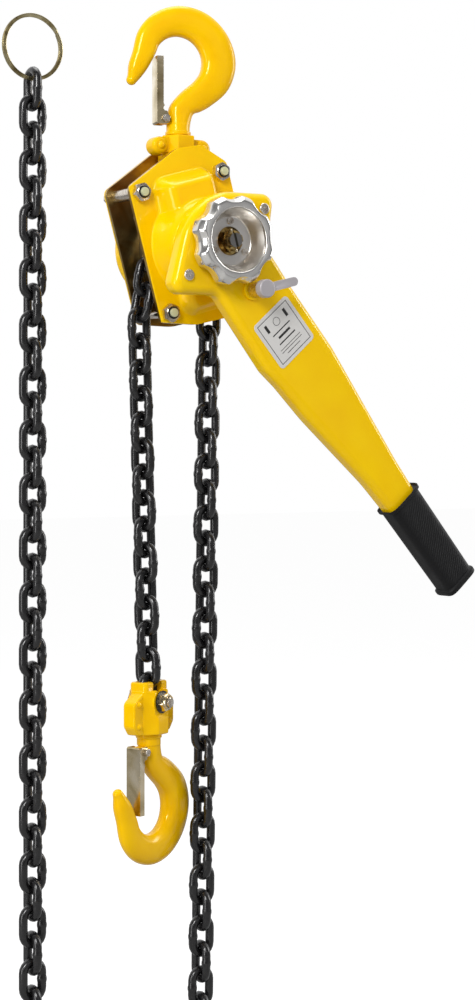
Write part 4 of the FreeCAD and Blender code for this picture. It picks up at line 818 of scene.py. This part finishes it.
for name, corners, closed, material, replaced, slot in (
        ("wheelRim", "rim", False, chrome, ("hand_wheel",), "wheel_chrome"),
        ("wheelCup", "cup", False, cupSteel, (), "wheel_chrome"),
        ("wheelDisc", "disc", True, cupSteel, ("wheel_disc",), "zinc_plate")):
    profile = wheelGrid(wheel[corners], name == "wheelRim")
    addPiece(name, [(profile, closed, True)], material, "hand_wheel", replaced, 45)
print("wheel made")

# ---- grip
grip = {"from": 309.0, "to": 420.5, "top": 20.9, "end": 19.2, "depth": 13.8, "middle": -65.2, "collar": 2.0,
        "collarWide": 4.8, "waist": 1.2, "cap": 2.0, "capDraw": 2.6, "square": 5, "rib": 0.35, "ribGap": 2.6,
        "panel": (8.0, 11.0), "mouth": 0.93}


def gripGrid():
    # rounded rectangle carried along the lever: a collar at each end, slanted ribs on both broad faces
    rows, cap, bend = 230, grip["cap"], np.linspace(0.2, math.pi / 2, 8)
    s = np.concatenate([np.linspace(grip["from"], grip["to"] - cap, rows),
                        grip["to"] - cap + cap * np.sin(bend)])
    along = (s - grip["from"]) / (grip["to"] - grip["from"])
    half = grip["top"] + (grip["end"] - grip["top"]) * along
    head = np.clip(1 - (s - grip["from"]) / grip["collarWide"], 0, 1)
    foot = np.clip(1 - (grip["to"] - cap - s) / grip["collarWide"], 0, 1)
    swell = grip["collar"] * np.minimum(1, 3 * np.maximum(head, foot)) - grip["waist"]
    tip = np.concatenate([np.zeros(rows), grip["capDraw"] * (1 - np.cos(bend))])
    a = np.linspace(0, 2 * math.pi, 150, endpoint=False)[None]
    c, sn = np.cos(a), np.sin(a)
    norm = (np.abs(c) ** grip["square"] + np.abs(sn) ** grip["square"]) ** (-1 / grip["square"])
    across = (half + swell - tip)[:, None] * c * norm
    deep = (grip["depth"] + swell - tip)[:, None] * sn * norm
    flatFace = np.clip((np.abs(sn * norm) - 0.93) / 0.05, 0, 1)
    flatFace = flatFace * np.clip((0.86 - np.abs(c * norm)) / 0.06, 0, 1)
    before, after = grip["panel"]
    panel = np.clip((s - grip["from"] - before) / 2, 0, 1) * np.clip((grip["to"] - after - s) / 2, 0, 1)
    inPanel = flatFace * panel[:, None]
    slant = np.sin(2 * math.pi * ((across * 0.62 + s[:, None] * 0.785) / grip["ribGap"]))
    deep = deep + np.sign(sn) * grip["rib"] * inPanel * (0.5 * slant - 0.5)
    body = swing(across, grip["middle"] + deep, s[:, None] + 0 * across)
    end = swing(np.zeros_like(a), np.full_like(a, grip["middle"]), np.full_like(a, grip["to"]))
    inside = np.full_like(a, grip["from"] + cap)
    top = swing(grip["mouth"] * across[:1], grip["middle"] + grip["mouth"] * deep[:1], inside)
    start = swing(np.zeros_like(a), np.full_like(a, grip["middle"]), inside)
    return np.concatenate([start, top, body, end])


addPiece("rubberGrip", [(gripGrid(), False, True)], rubber, "lever", ("grip",), 40)
print("grip made")

# ---- CAD nodes with rounded edges
copies = {
    "lever_front_shell": ("leverFront", yellowCoat, "lever", "yellow_paint", 0.0, 30),
    "lever_rear_shell": ("leverRear", yellowCoat, "lever", "yellow_paint", 0.0, 30),
    "gear_cover": ("gearCoverPressing", yellowCoat, "hoist_body", "yellow_paint", 0.5, 30),
    "top_yoke_front_half": ("topYokeFront", forgingCoat, "top_yoke", "yellow_paint", 1.2, 30),
    "top_yoke_rear_half": ("topYokeRear", forgingCoat, "top_yoke", "yellow_paint", 1.2, 30),
    "top_yoke_rivets": ("topYokeRivets", forgingCoat, "top_yoke", "yellow_paint", 0.0, 30),
    "lower_yoke_front_half": ("loadYokeFront", forgingCoat, "block", "yellow_paint", 1.2, 30),
    "lower_yoke_rear_half": ("loadYokeRear", forgingCoat, "block", "yellow_paint", 1.2, 30),
    "lower_yoke_rivets": ("loadYokeRivets", forgingCoat, "block", "yellow_paint", 0.0, 30),
    "chain_bolt": ("chainBolt", silverZinc, "block", "zinc_plate", 0.4, 30),
    "top_hook_latch": ("topLatch", latchZinc, "top_latch", "zinc_plate", 0.5, 30),
    "lower_hook_latch": ("loadLatch", latchZinc, "lower_latch", "zinc_plate", 0.5, 30),
    "top_latch_bolt": ("topLatchBolt", silverZinc, "top_hook", "zinc_plate", 0.4, 30),
    "lower_latch_bolt": ("loadLatchBolt", silverZinc, "lower_hook", "zinc_plate", 0.4, 30),
    "selector_lever": ("selectorKnob", castZinc, "selector", "knob_grey", 0.8, 30),
    "selector_shaft": ("selectorShaft", paleZinc, "selector", "zinc_gold", 0.3, 30),
    "selector_boss": ("selectorBoss", yellowCoat, "lever", "yellow_paint", 0.6, 30),
    "lever_screws": ("leverScrews", silverZinc, "lever", "zinc_plate", 0.15, 30),
    "wheel_screws": ("wheelScrews", silverZinc, "hand_wheel", "zinc_plate", 0.2, 30),
    # the castle nut's zinc carries painted shade and painted glints in its colour
    "castle_nut": ("castleNut", castleNutZincPaintedLight, "drive", "zinc_gold", 0.3, 30),
    "chain_stripper": ("chainStripper", paleZinc, "hoist_body", "zinc_plate", 0.3, 30),
}
for node, (name, material, body, slot, bevel, angle) in copies.items():
    dressCopy(node, name, material, body, bevel, angle)
print("copies dressed")

# ---- the other CAD nodes keep their mesh and get a real finish
finishes = {
    "brake_side_plate": goldZinc, "gear_side_plate": goldZinc, "stay_bolts": silverZinc, "top_pin": machined,
    "sheave_bearings": machined, "load_sheave": machined, "load_gear": machined, "disc_gear_left": machined,
    "disc_gear_right": machined, "drive_shaft": machined, "brake_hub": machined, "friction_discs": lining,
    "ratchet_disc": machined, "upper_pawl": machined, "lower_pawl": machined, "pawl_pins": machined,
    "pawl_springs": springSteel, "change_gear": machined, "change_pawl": machined,
    "detent_spring": springSteel,
    "rating_plate": labelFilm, "cotter_pin": paleZinc, "top_latch_spring": springSteel,
    "lower_latch_spring": springSteel,
}
for node, material in finishes.items():
    for slotPlace in nodes[node].material_slots:
        slotPlace.material = material

# ---- marks on the rating plate: a border, two bars, a ring and ruled lines, no words
# each bar: its left, right, low and high side; each line: its height, half length and thickness
label = {
    "along": 101.5, "across": -5.0, "y": -76.45, "ink": 0.12, "ring": (3.55, 4.0), "ringUp": 13.0,
    "bars": ((-20.5, 20.5, 21.2, 21.8), (-20.5, 20.5, -21.8, -21.2), (-20.5, -19.9, -21.8, 21.8),
             (19.9, 20.5, -21.8, 21.8), (-14.5, -11.5, 9.5, 17.5), (11.5, 14.5, 9.5, 17.5)),
    "lines": ((4.5, 12, 1.1), (-0.5, 8, 2.2), (-5.8, 11, 1.2), (-11, 14, 0.5), (-13.6, 14, 0.5),
              (-17, 9, 0.6)),
}


def inkBar(x0, x1, z0, z1):
    # thin plate of ink, x across the label and z up it
    x = np.array([[x0, x1, x1, x0], [x0, x1, x1, x0]]) + label["across"]
    s = label["along"] - np.array([[z0, z0, z1, z1], [z0, z0, z1, z1]])
    y = np.array([[label["y"]] * 4, [label["y"] + label["ink"]] * 4])
    g = swing(x, y, s)
    middle = g.mean(1, keepdims=True).repeat(4, 1)
    return np.concatenate([middle[:1], g, middle[1:]])


bars = [*label["bars"]]
bars += [(-half, half, height - tall / 2, height + tall / 2) for height, half, tall in label["lines"]]
marks = [(inkBar(*bar), False, True) for bar in bars]
turn = np.linspace(0, 2 * math.pi, 40, endpoint=False)[None]
(small, large), ink = label["ring"], label["ink"]
ringR, ringY = np.array([large, large, small, small])[:, None], np.array([ink, 0.0, 0.0, ink])[:, None]
marks.append((swing(label["across"] + ringR * np.cos(turn), label["y"] + ringY + 0 * turn,
                    label["along"] - label["ringUp"] - ringR * np.sin(turn)), True, True))
addPiece("labelMarks", marks, labelInk, "lever", (), 40)
print("label made")
